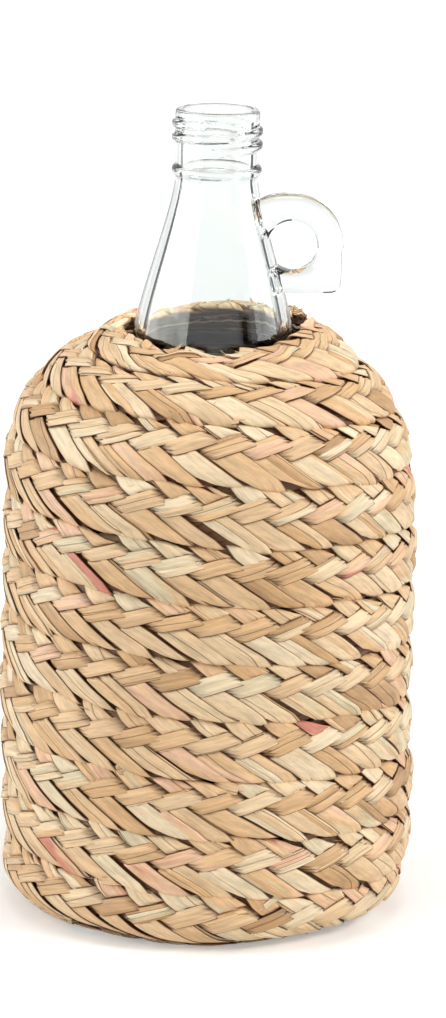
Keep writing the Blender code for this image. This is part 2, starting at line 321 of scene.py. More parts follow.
def add_piece(name: str, mesh: bpy.types.Mesh, part: Part) -> bpy.types.Object:
    """Make a mesh a piece of the vase.

    Args:
        name: Name of the piece.
        mesh: Its mesh, in place.
        part: CAD node that it stands for.

    Returns:
        The piece.
    """
    mesh.name = name
    piece = in_scene(name, mesh)
    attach(piece, "root")
    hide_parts(part.value)
    LOG.info("%s: %d faces", name, len(mesh.polygons))
    return piece


def settled_mesh(holder: bpy.types.Object) -> bpy.types.Mesh:
    """Plain mesh of an object whose modifiers have been worked out."""
    return bpy.data.meshes.new_from_object(holder.evaluated_get(bpy.context.evaluated_depsgraph_get()))


def grown_mesh(base: bpy.types.Mesh, tree: bpy.types.NodeTree,
               values: Mapping[str, object]) -> bpy.types.Mesh:
    """Run a geometry tree once and keep what it makes.

    Args:
        base: Mesh that the tree starts from.
        tree: Geometry node tree.
        values: Values of its inputs, by name.

    Returns:
        Plain mesh.
    """
    carrier = in_scene("carrier", base)
    modifier = carrier.modifiers.new("growth", "NODES")
    modifier.node_group = tree
    for item in tree.interface.items_tree:
        if item.item_type == "SOCKET" and item.in_out == "INPUT" and item.name in values:
            modifier[item.identifier] = values[item.name]
    carrier.update_tag()
    mesh = settled_mesh(carrier)
    bpy.data.objects.remove(carrier)
    return mesh


# Outlines


def outline_mesh(points: Sequence[Point]) -> bpy.types.Mesh:
    """Line of points as a mesh in the XZ plane.

    Args:
        points: Radius and height of each point.

    Returns:
        The mesh.
    """
    mesh = bpy.data.meshes.new("outline")
    mesh.from_pydata([(r, 0.0, z) for r, z in points], [(i, i + 1) for i in range(len(points) - 1)], [])
    return mesh


def bezier(start: Point, start_arm: Point, end_arm: Point, end: Point, count: int) -> list[Point]:
    """Curve in the (radius, height) half plane.

    Args:
        start: First point.
        start_arm: Arm that leaves it.
        end_arm: Arm that leaves the last point.
        end: Last point.
        count: Number of points.

    Returns:
        Points of the curve.
    """
    first, last = Vector((*start, 0)), Vector((*end, 0))
    knots = (first, first + Vector((*start_arm, 0)), last + Vector((*end_arm, 0)), last)
    return [(p.x, p.y) for p in interpolate_bezier(*knots, count)]


def climb(foot: Point, low_arm: Point, high_arm: Point, top: Point, count: int) -> list[Point]:
    """Curve that climbs inwards in the half plane.

    Args:
        foot: First point.
        low_arm: Arm at the foot, inwards and up, as shares of the curve's run and rise.
        high_arm: Arm at the top, outwards and down, as shares of the curve's run and rise.
        top: Last point.
        count: Number of points.

    Returns:
        Points of the curve.
    """
    run, rise = foot[0] - top[0], top[1] - foot[1]
    return bezier(foot, (-low_arm[0] * run, low_arm[1] * rise), (high_arm[0] * run, -high_arm[1] * rise),
                  top, count)


def arc(centre: Point, radius: float, first: float, last: float, count: int) -> list[Point]:
    """Points of an arc in the half plane, between two angles."""
    across, up = centre
    return [(across + radius * cos(a), up + radius * sin(a)) for a in np.linspace(first, last, count)]


def run_on(inner: np.ndarray, last: np.ndarray, reach: float) -> np.ndarray:
    """Point that lies a reach past the last one, as seen from the one before it."""
    return last + (last - inner) / np.linalg.norm(last - inner) * reach


def moved_out(points: Sequence[Point], distance: float | Sequence[float]) -> list[Point]:
    """Outline moved along its normals, which lie on the right of its direction of travel.

    Args:
        points: The outline.
        distance: How far it moves, in all or at each point.

    Returns:
        Points of the moved outline.
    """
    places = np.array(points)
    steps = np.gradient(places, axis=0)
    steps /= np.hypot(steps[:, 0], steps[:, 1])[:, None]
    normals = np.stack([steps[:, 1], -steps[:, 0]], axis=1)
    return [tuple(p) for p in places + normals * np.broadcast_to(distance, len(places))[:, None]]


def round_box_reach(across: float, up: float, width: float, height: float, power: float) -> float:
    """Distance to the edge of a round-cornered box from its middle.

    Args:
        across: Direction's share across.
        up: Direction's share upwards.
        width: Half width of the box.
        height: Half height of the box.
        power: How square the corners are, from 2 for an ellipse.

    Returns:
        The distance.
    """
    return ((abs(across) / width) ** power + (abs(up) / height) ** power) ** (-1 / power)


# Finishes


class ShaderTree(Tree):
    """Shader tree of a new material around its Principled shader."""

    def __init__(self, name: str) -> None:
        """Make the material.

        Args:
            name: Name of the material.
        """
        self.material = bpy.data.materials.new(name)
        self.material.use_nodes = True
        super().__init__(self.material.node_tree)
        self.shader = self.data.nodes["Principled BSDF"]

    def surface(self, inputs: Mapping[str, object]) -> None:
        """Set or feed the shader's inputs, by name."""
        for name, value in inputs.items():
            self.feed(self.shader.inputs[name], value)

    def attribute(self, name: str) -> Field:
        """Number that the mesh carries under a name."""
        return self.out(self.node("ShaderNodeAttribute", attribute_name=name), "Fac")

    def place(self) -> Field:
        """Place on the piece."""
        return self.out(self.node("ShaderNodeTexCoord"), "Object")

    def bump(self, height: Field, distance: float = 1.0) -> Field:
        """Normal of a surface with a relief of some height."""
        relief = {"Strength": 1.0, "Distance": distance, "Height": height}
        return self.out(self.node("ShaderNodeBump", relief))

    def mix(self, share: Field, first: object, second: object, blend: str = "MIX") -> Field:
        """Two colours mixed by a share."""
        made = self.node("ShaderNodeMix", {"Factor": share, "A": first, "B": second},
                         data_type="RGBA", blend_type=blend)
        return self.out(made, "Result")


@dataclass(frozen=True)
class LeafFibre:
    """Effect that all dry leaf shares: fine lengthwise fibres, a crease and stains."""

    name: str = "leaf_fibre"
    half_width: float = 0.003
    fine_scale: Point = (60.0, 4200.0)
    broad_scale: Point = (25.0, 1100.0)
    fine_share: float = 0.6
    spread: float = 40.0
    broad_shift: float = 7.0
    crease_scale: Point = (18.0, 60.0)
    crease_reach: float = 2.4
    crease_width: float = 0.09
    stain_scale: Place = (90.0, 1.4, 30.0)

    def group(self) -> bpy.types.NodeTree:
        """Shader node group that works them out from a leaf's along, side and tone values.

        Returns:
            The group.
        """
        tree = GroupTree(self.name, "ShaderNodeTree", {"Along": float, "Side": float, "Tone": float})
        along, side, tone = (tree.input(name) for name in ("Along", "Side", "Tone"))
        lane = side * self.half_width
        lot = tone * self.spread
        fine = tree.combine(along * self.fine_scale[0], lane * self.fine_scale[1], lot)
        broad = tree.combine(along * self.broad_scale[0], lane * self.broad_scale[1], lot + self.broad_shift)
        fibre = (tree.noise(fine, 1.0, 3.0, 0.6) * self.fine_share
                 + tree.noise(broad, 1.0, 2.0, 0.5) * (1 - self.fine_share))
        path = tree.combine(along * self.crease_scale[0], tone * self.crease_scale[1], 0.0)
        apart = abs(side - (tree.noise(path, 1.0, 1.0) - 0.5) * self.crease_reach)
        blot = tree.combine(*[value * scale for value, scale in zip((along, side, tone), self.stain_scale)])
        results = {"Fibre": fibre, "Crease": 1 - tree.ramp(apart, 0.0, self.crease_width),
                   "Stain": tree.noise(blot, 1.0, 3.0, 0.65)}
        for label in results:
            tree.data.interface.new_socket(label, in_out="OUTPUT", socket_type=GroupTree.KINDS[float])
        tree.node("NodeGroupOutput", results)
        return tree.data


@dataclass(frozen=True)
class SeagrassFinish:
    """Dry seagrass leaf: tones that change from strip to strip and along each one, and painted shade at the
    leaf edges, in creases and where leaf lies deeper.
    """

    name: str = "dry_seagrass"
    tones: tuple[tuple[float, Colour], ...] = (
        (0.00, (0.54, 0.32, 0.155)),
        (0.10, (0.70, 0.43, 0.21)),
        (0.23, (0.79, 0.51, 0.27)),
        (0.42, (0.83, 0.58, 0.34)),
        (0.58, (0.87, 0.65, 0.40)),
        (0.72, (0.92, 0.74, 0.50)),
        (0.80, (0.74, 0.62, 0.40)),
        (0.86, (0.83, 0.54, 0.28)),
        (0.93, (0.87, 0.56, 0.37)),
        (0.985, (0.80, 0.46, 0.27)),
        (1.00, (0.66, 0.25, 0.17)),
    )
    tone_share: float = 0.96
    blended: float = 0.36
    blend_scale: Place = (26.0, 90.0, 0.5)
    fibre_contrast: float = 1.05
    stain_contrast: float = 0.95
    brightness: float = 1.04
    # Colour of the painted shade, multiplied in at the leaf edges, in creases and where leaf lies deeper.
    shaded: Colour = (0.14, 0.068, 0.03)
    edge: Point = (0.86, 0.98)
    edge_shade: float = 0.95
    depth_shade: float = 0.95
    crease_shade: float = 0.6
    creased_share: float = 0.35
    crease_lot: float = 37.7
    crease_depth: float = 0.00015
    fibre_depth: float = 0.00012
    roughness: float = 0.55
    fibre_roughness: float = 0.5
    crease_roughness: float = 0.2
    roughness_limits: Point = (0.2, 0.95)
    specular: float = 0.35

    def material(self, fibre: bpy.types.NodeTree) -> bpy.types.Material:
        """Material with the leaf's fibres.

        Args:
            fibre: Shared group of leaf fibres.

        Returns:
            The material.
        """
        tree = ShaderTree(self.name)
        names = ("leaf_along", "leaf_side", "leaf_tone", "leaf_depth")
        along, side, tone, depth = map(tree.attribute, names)
        leaf = tree.node("ShaderNodeGroup", {"Along": along, "Side": side, "Tone": tone}, node_tree=fibre)
        fibres, crease, stain = (tree.out(leaf, name) for name in ("Fibre", "Crease", "Stain"))
        creased = tree.math("LESS_THAN", tree.math("FRACT", tone * self.crease_lot), self.creased_share)
        crease = crease * creased

        run, lot, lane = self.blend_scale
        blend = tree.noise(tree.combine(along * run, tone * lot, side * lane), 1.0, 1.0) - 0.5
        blended = tree.clamp(tone * self.tone_share + blend * self.blended)
        ramp = tree.node("ShaderNodeValToRGB", {"Fac": blended})
        ramp.color_ramp.interpolation = "LINEAR"
        while len(ramp.color_ramp.elements) < len(self.tones):
            ramp.color_ramp.elements.new(1.0)
        for element, (place, colour) in zip(ramp.color_ramp.elements, self.tones):
            element.position, element.color = place, (*colour, 1.0)
        light = (fibres - 0.5) * self.fibre_contrast + (stain - 0.5) * self.stain_contrast + self.brightness
        lit = tree.node("ShaderNodeVectorMath", {0: ramp.outputs["Color"], "Scale": light}, operation="SCALE")
        # Painted shade: dark leaf edges stand for the shadow gaps between strips, leaf_depth darkens leaf
        # that lies under its neighbours, at the seams' fold edges and at the roots of loose ends, and creases
        # are darkened too.
        edge = tree.ramp(abs(side), *self.edge)
        dark = tree.clamp(edge * self.edge_shade + depth * self.depth_shade + crease * self.crease_shade)

        rough = (fibres - 0.5) * self.fibre_roughness + crease * self.crease_roughness + self.roughness
        tree.surface({"Base Color": tree.mix(dark, lit.outputs[0], (*self.shaded, 1.0), "MULTIPLY"),
                      "Roughness": tree.clamp(rough, *self.roughness_limits),
                      "Specular IOR Level": self.specular,
                      "Normal": tree.bump(fibres * self.fibre_depth - crease * self.crease_depth)})
        return tree.material


@dataclass(frozen=True)
class TwineFinish:
    """Twisted natural twine with two plies."""

    name: str = "twine_two_ply"
    # Crest colour, and the painted shade colour of the grooves between the plies.
    light: Colour = (0.66, 0.52, 0.36)
    dark: Colour = (0.34, 0.24, 0.14)
    twist_length: float = 0.0022
    plies: int = 2
    ply_crest: float = 0.6
    ply_share: float = 0.8
    fuzz_scale: Point = (2500.0, 9.0)
    relief: float = 0.0003
    roughness: float = 0.7
    ply_roughness: float = 0.2

    def material(self) -> bpy.types.Material:
        """Material whose plies wind along the twine's own length.

        Returns:
            The material.
        """
        tree = ShaderTree(self.name)
        along, around = tree.attribute("twine_along"), tree.attribute("twine_round")
        ply = tree.math("SINE", along * (tau / self.twist_length) + around * (self.plies * tau))
        fuzz = tree.noise(tree.combine(along * self.fuzz_scale[0], around * self.fuzz_scale[1], 0.0), 1.0)
        height = tree.ramp(ply, -1.0, self.ply_crest) * self.ply_share + fuzz * (1 - self.ply_share)
        # Painted shade: the colour runs from dark in the grooves between the plies to light on their crests,
        # with random fuzz tone mixed in.
        tree.surface({"Base Color": tree.mix(height, (*self.dark, 1.0), (*self.light, 1.0)),
                      "Roughness": height * self.ply_roughness + self.roughness,
                      "Normal": tree.bump(height, self.relief)})
        return tree.material


@dataclass(frozen=True)
class GlassFinish:
    """Clear pressed glass with a faint green tint and a slightly uneven surface."""

    name: str = "clear_pressed_glass"
    tint: Colour = (0.955, 0.985, 0.972)
    index: float = 1.5
    mark_scale: float = 130.0
    mark_range: Point = (0.62, 0.9)
    mark_roughness: float = 0.05
    ripple_scale: float = 55.0
    ripple_stretch: Place = (1.0, 1.0, 0.45)
    ripple_depth: float = 0.00012

    def material(self) -> bpy.types.Material:
        """Material with soft ripples and a trace of handling marks.

        Returns:
            The material.
        """
        tree = ShaderTree(self.name)
        place = tree.place()
        marks = tree.ramp(tree.noise(place, self.mark_scale, 4.0, 0.7), *self.mark_range)
        ripple = tree.noise(tree.vector("MULTIPLY", place, self.ripple_stretch), self.ripple_scale, 1.0, 0.4)
        tree.surface({"Base Color": (*self.tint, 1.0), "Transmission Weight": 1.0, "IOR": self.index,
                      "Roughness": marks * self.mark_roughness,
                      "Normal": tree.bump(ripple, self.ripple_depth)})
        return tree.material


# Glass


@dataclass
class GlassJug:
    """Hollow jug with its screw finish, the bead under it and a ring handle."""

    body_radius: float = 0.078
    body_wall: float = 0.0035
    base_thickness: float = 0.005
    heel_radius: float = 0.014
    push_up_radius: float = 0.052
    push_up_rise: float = 0.004
    foot: float = 0.0063
    wall_height: float = 0.1797
    shoulder_rise: float = 0.0483
    shoulder_arm: float = 0.030
    shoulder_high_arm: Point = (0.485, 0.077)
    fillet_run: float = 0.005
    fillet_rise: float = 0.0062
    fillet_low_arm: Point = (0.60, 0.08)
    fillet_high_arm: Point = (0.06, 0.48)
    cone_foot_radius: float = 0.0334
    cone_rise: float = 0.0655
    cone_wall: float = 0.0048
    cone_low_arm: Point = (0.092, 0.237)
    cone_high_arm: Point = (0.086, 0.229)
    neck_radius: float = 0.0171
    neck_wall: float = 0.0033
    finish_radius: float = 0.0174
    finish_length: float = 0.029
    bore_length: float = 0.012
    lip_rounding: float = 0.0011
    corner_run: float = 0.003
    corner_floor_arm: Point = (0.006, 0.0)
    corner_wall_arm: Point = (-0.001, -0.0015)
    trim: float = 0.0004
    bead_drop: float = 0.025
    bead_depth: float = 0.0012
    bead_half_height: float = 0.0020
    screw_drop: float = 0.0048
    screw_pitch: float = 0.0056
    screw_turns: float = 2.0
    screw_depth: float = 0.00135
    screw_width: float = 0.0040
    screw_crest_share: float = 0.35
    screw_flank_power: float = 1.6
    screw_run_out: float = 0.12
    screw_start: float = radians(-105)
    hole_radius: float = 0.01025
    hole_rise: float = 0.0389
    hole_bite: float = 0.0021
    ring_width: float = 0.0112
    ring_thickness: float = 0.013
    ring_section_power: float = 0.45
    ring_foot_drop: float = 0.0196
    ring_foot_reach: float = 0.0207
    ring_foot_power: float = 10.0
    ring_top_power: float = 2.6
    ring_root_share: float = 0.65
    bend_points: int = 14
    shoulder_points: int = 40
    cone_points: int = 48
    neck_points: int = 110
    lip_points: int = 7
    corner_points: int = 8
    segments: int = 192
    ring_steps: int = 120
    ring_sides: int = 24
    sharp_angle: float = radians(50)
    tolerance: float = 1e-6

    @property
    def wall_top(self) -> float:
        """Height at which the shoulder starts."""
        return self.foot + self.wall_height

    @property
    def cone_foot(self) -> float:
        """Height at which the cone starts."""
        return self.wall_top + self.shoulder_rise + self.fillet_rise

    @property
    def neck_foot(self) -> float:
        """Height at which the cone ends."""
        return self.cone_foot + self.cone_rise

    @property
    def lip(self) -> float:
        """Height of the mouth."""
        return self.neck_foot + self.finish_length

    @property
    def bore_radius(self) -> float:
        """Inside radius of the neck."""
        return self.neck_radius - self.neck_wall

    def cone_outline(self) -> list[Point]:
        """Outside of the long cone, from the shoulder up to the neck."""
        return climb((self.cone_foot_radius, self.cone_foot), self.cone_low_arm, self.cone_high_arm,
                     (self.neck_radius, self.neck_foot), self.cone_points)

    def cone_radius(self, height: float) -> float:
        """Outside radius of the cone at a height."""
        outline = self.cone_outline()
        return float(np.interp(height, [z for _, z in outline], [r for r, _ in outline]))

    def walled_outline(self) -> tuple[list[Point], np.ndarray]:
        """Outside of the glass from its heel to its neck.

        Returns:
            Points of the outline, and the thickness of the wall behind each.
        """
        end = (self.cone_foot_radius + self.fillet_run, self.wall_top + self.shoulder_rise)
        heel = arc((self.body_radius - self.heel_radius, self.foot + self.heel_radius), self.heel_radius,
                   -pi / 2, 0, self.bend_points)
        shoulder = climb((self.body_radius, self.wall_top), (0.0, self.shoulder_arm / self.shoulder_rise),
                         self.shoulder_high_arm, end, self.shoulder_points)
        fillet = climb(end, self.fillet_low_arm, self.fillet_high_arm,
                       (self.cone_foot_radius, self.cone_foot), self.bend_points)
        points = heel + shoulder + fillet[1:] + self.cone_outline()[1:]
        levels = (self.wall_top, end[1], self.cone_foot, self.neck_foot)
        walls = np.interp([z for _, z in points], levels,
                          (self.body_wall, self.cone_wall, self.cone_wall, self.neck_wall))
        return points, walls

    def finish_outline(self) -> list[Point]:
        """Outside of the neck above the cone, with its bead and rounded lip.

        Returns:
            Points of the outline, round to the bore.
        """
        high = self.lip - self.lip_rounding
        heights = np.linspace(self.neck_foot, high, self.neck_points)[1:]
        bead = self.lip - self.bead_drop
        rise = np.clip(np.abs(heights - bead) / self.bead_half_height, 0, 1)
        widening = np.clip((heights - self.neck_foot) / (2 * self.bead_half_height), 0, 1)
        radii = self.neck_radius + (self.finish_radius - self.neck_radius) * widening
        radii = radii + self.bead_depth * np.sqrt(1 - rise ** 2)
        centre_out, centre_in = self.finish_radius - self.lip_rounding, self.bore_radius + self.lip_rounding
        lip = arc((centre_out, high), self.lip_rounding, 0, pi / 2, self.lip_points)[1:]
        lip += arc((centre_in, high), self.lip_rounding, pi / 2, pi, self.lip_points)
        return list(zip(radii, heights)) + lip

    def outline(self) -> list[Point]:
        """Whole outline of the glass.

        Returns:
            Points from the middle of the foot round to the middle of the floor.
        """
        outside, walls = self.walled_outline()
        floor = self.foot + self.base_thickness
        low, high = floor + self.trim, self.neck_foot - self.trim
        inside = [point for point in moved_out(outside, -walls) if low < point[1] < high]
        corner = bezier((self.push_up_radius + self.corner_run, floor), self.corner_floor_arm,
                        self.corner_wall_arm, inside[0], self.corner_points)
        bore = [(self.bore_radius, z) for z in (self.lip - self.bore_length, self.neck_foot)]
        dome = [(self.push_up_radius * share, self.push_up_rise * cos(share * pi / 2))
                for share in np.linspace(0, 1, self.bend_points)]
        under, over = ([(r, level + up) for r, up in dome] for level in (self.foot, floor))
        return under + outside + self.finish_outline() + bore + inside[::-1] + corner[::-1][1:] + over[::-1]

    def screw_rise(self, angle: float, height: float) -> float:
        """How far the screw's ridge stands out at one place of the neck.

        Args:
            angle: Bearing of the place.
            height: Its height.

        Returns:
            The rise, 0 beside the ridge.
        """
        best = 0.0
        for lap in range(-1, 2 + int(self.screw_turns)):
            turn = (self.screw_start - angle) / tau + lap
            if not 0 <= turn <= self.screw_turns:
                continue
            ridge = self.lip - self.screw_drop - self.screw_pitch * turn
            apart = abs(height - ridge) / (self.screw_width / 2)
            flank = min(1.0, max(0.0, (apart - self.screw_crest_share) / (1 - self.screw_crest_share)))
            fade = min(1.0, min(turn, self.screw_turns - turn) / self.screw_run_out)
            best = max(best, self.screw_depth * fade * (1 - flank ** self.screw_flank_power))
        return best

    def turned(self) -> bmesh.types.BMesh:
        """Body of revolution with the screw's ridge on its neck.

        Returns:
            The closed mesh.
        """
        low = self.lip - self.screw_drop - self.screw_pitch * self.screw_turns - self.screw_width / 2
        mesh = bmesh.new()
        rings: list[list[bmesh.types.BMVert]] = []
        for radius, height in self.outline():
            if radius < self.tolerance:
                rings.append([mesh.verts.new((0, 0, height))])
                continue
            screwed = (radius > self.neck_radius - self.tolerance
                       and low < height < self.lip - self.lip_rounding / 2)
            ring = []
            for i in range(self.segments):
                angle = tau * i / self.segments - pi
                out = radius + (self.screw_rise(angle, height) if screwed else 0.0)
                ring.append(mesh.verts.new((out * cos(angle), out * sin(angle), height)))
            rings.append(ring)
        for first, second in zip(rings, rings[1:]):
            for i in range(self.segments):
                corners = [first[(i - 1) % len(first)], first[i % len(first)],
                           second[i % len(second)], second[(i - 1) % len(second)]]
                mesh.faces.new(list(dict.fromkeys(corners)))
        bmesh.ops.recalc_face_normals(mesh, faces=mesh.faces)
        return mesh

    def ring_reach(self, angle: float, centre: Point) -> float:
        """How far the handle's outline lies from the middle of its hole.

        Args:
            angle: Direction from the middle.
            centre: Middle of the hole.

        Returns:
            The distance.
        """
        ring = self.hole_radius + self.ring_width
        across, up = cos(angle), sin(angle)
        if across >= 0 and up >= 0:
            return ring
        if across >= 0:
            return round_box_reach(across, up, self.ring_foot_reach, self.ring_foot_drop,
                                   self.ring_foot_power)
        low, high = centre[1] - self.ring_foot_drop, centre[1] + ring
        low_radius = self.cone_radius(low) - self.cone_wall * self.ring_root_share
        high_radius = self.cone_radius(high) - self.neck_wall * self.ring_root_share
        slope = (high_radius - low_radius) / (high - low)
        edge = round_box_reach(across, up, ring, ring, self.ring_top_power)
        if up < 0:
            edge = round_box_reach(0, up, ring, self.ring_foot_drop, self.ring_foot_power)
        closing = slope * up - across
        wall = (centre[0] - low_radius - slope * (centre[1] - low)) / closing if closing > 0 else edge
        return min(edge, wall)

    def ring_handle(self) -> bmesh.types.BMesh:
        """Ring for one finger, whose root lies in the cone's wall.

        Returns:
            The closed mesh.
        """
        height = self.cone_foot + self.hole_rise
        centre = (self.cone_radius(height) + self.hole_radius - self.hole_bite, height)
        mesh = bmesh.new()
        rings = []
        for step in range(self.ring_steps):
            angle = tau * step / self.ring_steps
            reach = self.ring_reach(angle, centre)
            middle, half = (self.hole_radius + reach) / 2, (reach - self.hole_radius) / 2
            ring = []
            for side in range(self.ring_sides):
                a = tau * (side + 0.5) / self.ring_sides
                c, s = cos(a), sin(a)
                out = middle + half * np.sign(c) * abs(c) ** self.ring_section_power
                across = self.ring_thickness / 2 * np.sign(s) * abs(s) ** self.ring_section_power
                place = (centre[0] + out * cos(angle), across, centre[1] + out * sin(angle))
                ring.append(mesh.verts.new(place))
            rings.append(ring)
        for first, second in zip(rings, rings[1:] + rings[:1]):
            for i in range(self.ring_sides):
                mesh.faces.new((first[i - 1], first[i], second[i], second[i - 1]))
        bmesh.ops.recalc_face_normals(mesh, faces=mesh.faces)
        return mesh

    def joined(self) -> bpy.types.Mesh:
        """Jug and handle as one closed skin of glass.

        Returns:
            The mesh.
        """
        holders = []
        for name, mesh in (("jug_form", self.turned()), ("ring_form", self.ring_handle())):
            data = bpy.data.meshes.new(name)
            mesh.to_mesh(data)
            mesh.free()
            holders.append(in_scene(name, data))
        union = holders[0].modifiers.new("root", "BOOLEAN")
        union.operation, union.object, union.solver = "UNION", holders[1], "EXACT"
        result = settled_mesh(holders[0])
        for holder in holders:
            bpy.data.objects.remove(holder)
        return result

    def build(self, finish: bpy.types.Material) -> None:
        """Build the jug.

        Args:
            finish: Glass material.
        """
        mesh = self.joined()
        mesh.shade_smooth()
        mesh.set_sharp_from_angle(angle=self.sharp_angle)
        mesh.materials.clear()
        mesh.materials.append(finish)
        piece = add_piece("jug_glass", mesh, Part.JUG)
        piece.visible_shadow = False


# Plait


@dataclass(frozen=True)
class Winding:
    """Plait wound edge to edge between two lengths along a course in the half plane.

    Its first turn widens from a narrow tip and its last one narrows to one, so that the
    first and the last edge are level.
    """

    course: tuple[Point, ...]
    start: float
    stop: float
    start_angle: float
    width: float
    tip_width: float = 0.006
    row_gap: float = 0.0006
    step_over_share: float = 1 / 6
    points_per_turn: int = 24
    rim_dip: float = 0.0
    rim_waver: float = 0.0
    rim_standoff: float = 0.0
    heel_ease: float = 0.0
    shoulder_press: float = 0.0
    low_lean: float = 0.0

    INPUTS = ("Start", "Stop", "Start Angle", "Tip Width", "Row Gap", "Row Pitch", "Step Over Share", "Turns",
              "Rim Dip", "Rim Waver", "Rim Standoff", "Heel Ease", "Shoulder Press", "Low Lean")

    @property
    def row_pitch(self) -> float:
        """Distance from row to row."""
        return self.width + self.row_gap

    @property
    def turns(self) -> float:
        """Number of turns, in whole steps."""
        turns = 1 + (self.stop - self.start - 2 * self.tip_width - self.row_gap) / self.row_pitch
        return max(self.points_per_turn, round(turns * self.points_per_turn)) / self.points_per_turn

    def grown(self, tree: GeometryTree, values: Mapping[str, object]) -> bpy.types.Mesh:
        """Mesh that a tree grows along this winding."""
        return grown_mesh(outline_mesh(self.course), tree.data, {**field_values(self, self.INPUTS), **values})


class WoundTree(GeometryTree):
    """Geometry tree whose points are placed along a winding.

    Lengths here run along the winding's course, from its start or back from its stop.
    """

    MIDDLE_POINTS = 1600
    RIM_BAND = (0.045, 0.0)
    FRONT_DIP, BACK_DIP, SIDE_DIP = 0.9, 0.85, 0.08
    DIP_POWER = 4.0
    WAVER_SCALE = 2.3
    DRAW_IN_SHARE = 0.35
    SHOULDER_RISE = (0.105, 0.055)
    SHOULDER_FALL = (0.0, 0.04)
    HEEL_BAND = (0.0, 0.048)
    LEAN_RISE = (0.012, 0.03)
    LEAN_FALL = (0.095, 0.05)
    SLOW_SCALE, SLOW_SWAY = 9.0, (0.005, 0.005, 0.007)
    QUICK_SCALE, QUICK_SWAY = 34.0, (0.0022, 0.0022, 0.0026)

    def __init__(self, name: str, inputs: Mapping[str, type]) -> None:
        """Start the tree.

        Args:
            name: Name of the tree.
            inputs: Type of each input, but for those of the winding.
        """
        super().__init__(name, {**dict.fromkeys(Winding.INPUTS, float), **inputs})
        self.course = self.out(self.node("GeometryNodeMeshToCurve", {"Mesh": self.input("Geometry")}))

    def edges(self, turn: Field) -> tuple[Field, Field]:
        """Lengths along the course of the plait's lower and upper edge.

        Args:
            turn: Turns from the start.

        Returns:
            Length of the lower edge and of the upper edge.
        """
        start, stop, step = self.input("Start"), self.input("Stop"), self.input("Step Over Share")
        tip, gap, pitch = self.input("Tip Width"), self.input("Row Gap"), self.input("Row Pitch")
        last = self.input("Turns") - 1
        low_step = self.clamp((turn - 1 + step) / step)
        lower = start + (tip + gap) * low_step + pitch * self.math("MAXIMUM", 0.0, turn - 1)
        climbed = start + tip + pitch * self.math("MINIMUM", turn, last)
        return lower, climbed + (stop - climbed) * self.clamp((turn - last) / step)

    def past_start(self, length: Field, band: Point) -> Field:
        """Climb from 0 to 1 between two lengths past the winding's start."""
        return self.ramp(length, *[self.input("Start") + place for place in band])

    def before_stop(self, length: Field, band: Point) -> Field:
        """Climb from 0 to 1 between two lengths short of the winding's stop."""
        return self.ramp(length, *[self.input("Stop") - place for place in band])

    def rim_shift(self, length: Field, cosine: Field, sine: Field) -> tuple[Field, Field]:
        """How the cover's rim leaves its even shape.

        Args:
            length: Length along the course.
            cosine: Cosine of the bearing.
            sine: Sine of the bearing.

        Returns:
            How far the place lies lower along the course, and how far it stands off.
        """
        by_rim = self.before_stop(length, self.RIM_BAND)
        waver = self.noise(self.combine(cosine, sine, 0.0), self.WAVER_SCALE) - 0.5
        front = (1 - sine) / 2
        at_front, at_back = front ** self.DIP_POWER, (1 - front) ** self.DIP_POWER
        dip = self.input("Rim Dip") * (at_front * self.FRONT_DIP + at_back * self.BACK_DIP + self.SIDE_DIP)
        drawn_in = self.input("Rim Dip") * front * self.DRAW_IN_SHARE
        standoff = self.input("Rim Standoff") * (cosine * 0.5 + 0.5) - drawn_in
        return by_rim * (dip + self.input("Rim Waver") * waver), by_rim * by_rim * standoff

    def shoulder_shift(self, length: Field, cosine: Field) -> Field:
        """How far the shoulder on the handle's side is pressed in, at a length and a bearing."""
        flank = self.math("MAXIMUM", cosine, 0.0)
        return (self.before_stop(length, self.SHOULDER_RISE) * self.before_stop(length, self.SHOULDER_FALL)
                * flank * flank * self.input("Shoulder Press"))

    def lean_shift(self, length: Field, cosine: Field) -> Field:
        """How far the low wall leans towards the handle's side, at a length and a bearing."""
        return (self.past_start(length, self.LEAN_FALL) * self.past_start(length, self.LEAN_RISE)
                * cosine * self.input("Low Lean"))

    def place(self, turn: Field, share: Field | float, out: Field | float) -> Field:
        """Point on the winding.

        Args:
            turn: Turns from the start.
            share: 0 at the plait's lower edge and 1 at its upper edge.
            out: Distance out from the course.

        Returns:
            Position.
        """
        lower, upper = self.edges(turn)
        angle = self.input("Start Angle") - turn * tau
        cosine, sine = self.math("COSINE", angle), self.math("SINE", angle)
        even = lower + (upper - lower) * share
        fallen, standoff = self.rim_shift(even, cosine, sine)
        length = even - fallen
        by_heel = 1 - self.past_start(length, self.HEEL_BAND)
        out = standoff + out - by_heel * self.input("Heel Ease") - self.shoulder_shift(even, cosine)
        out = out + self.lean_shift(length, cosine)
        spot = self.node("GeometryNodeSampleCurve", {"Curves": self.course, "Length": length},
                         mode="LENGTH", use_all_curves=True)
        radius, _, height = self.separate(self.out(spot, "Position"))
        run, _, rise = self.separate(self.out(spot, "Tangent"))
        radius, height = radius + rise * out, height - run * out
        return self.combine(radius * cosine, radius * sine, height)

    def middle_line(self) -> Field:
        """Curve along the middle of the winding, whose points are even in turns."""
        line = self.straight_line(1.0, Count=self.MIDDLE_POINTS)
        return self.moved(line, self.place(self.middle_turn(), 0.5, 0.0))

    def middle_turn(self) -> Field:
        """Turns wound at each point of the middle line."""
        return self.index() / (self.MIDDLE_POINTS - 1) * self.input("Turns")

    def turn_at(self, middle: Field, length: Field) -> Field:
        """Turns wound at a length along the middle line."""
        spot = self.node("GeometryNodeSampleCurve",
                         {"Curves": middle, "Value": self.middle_turn(), "Length": length},
                         mode="LENGTH", use_all_curves=True, data_type="FLOAT")
        return self.out(spot, 0)

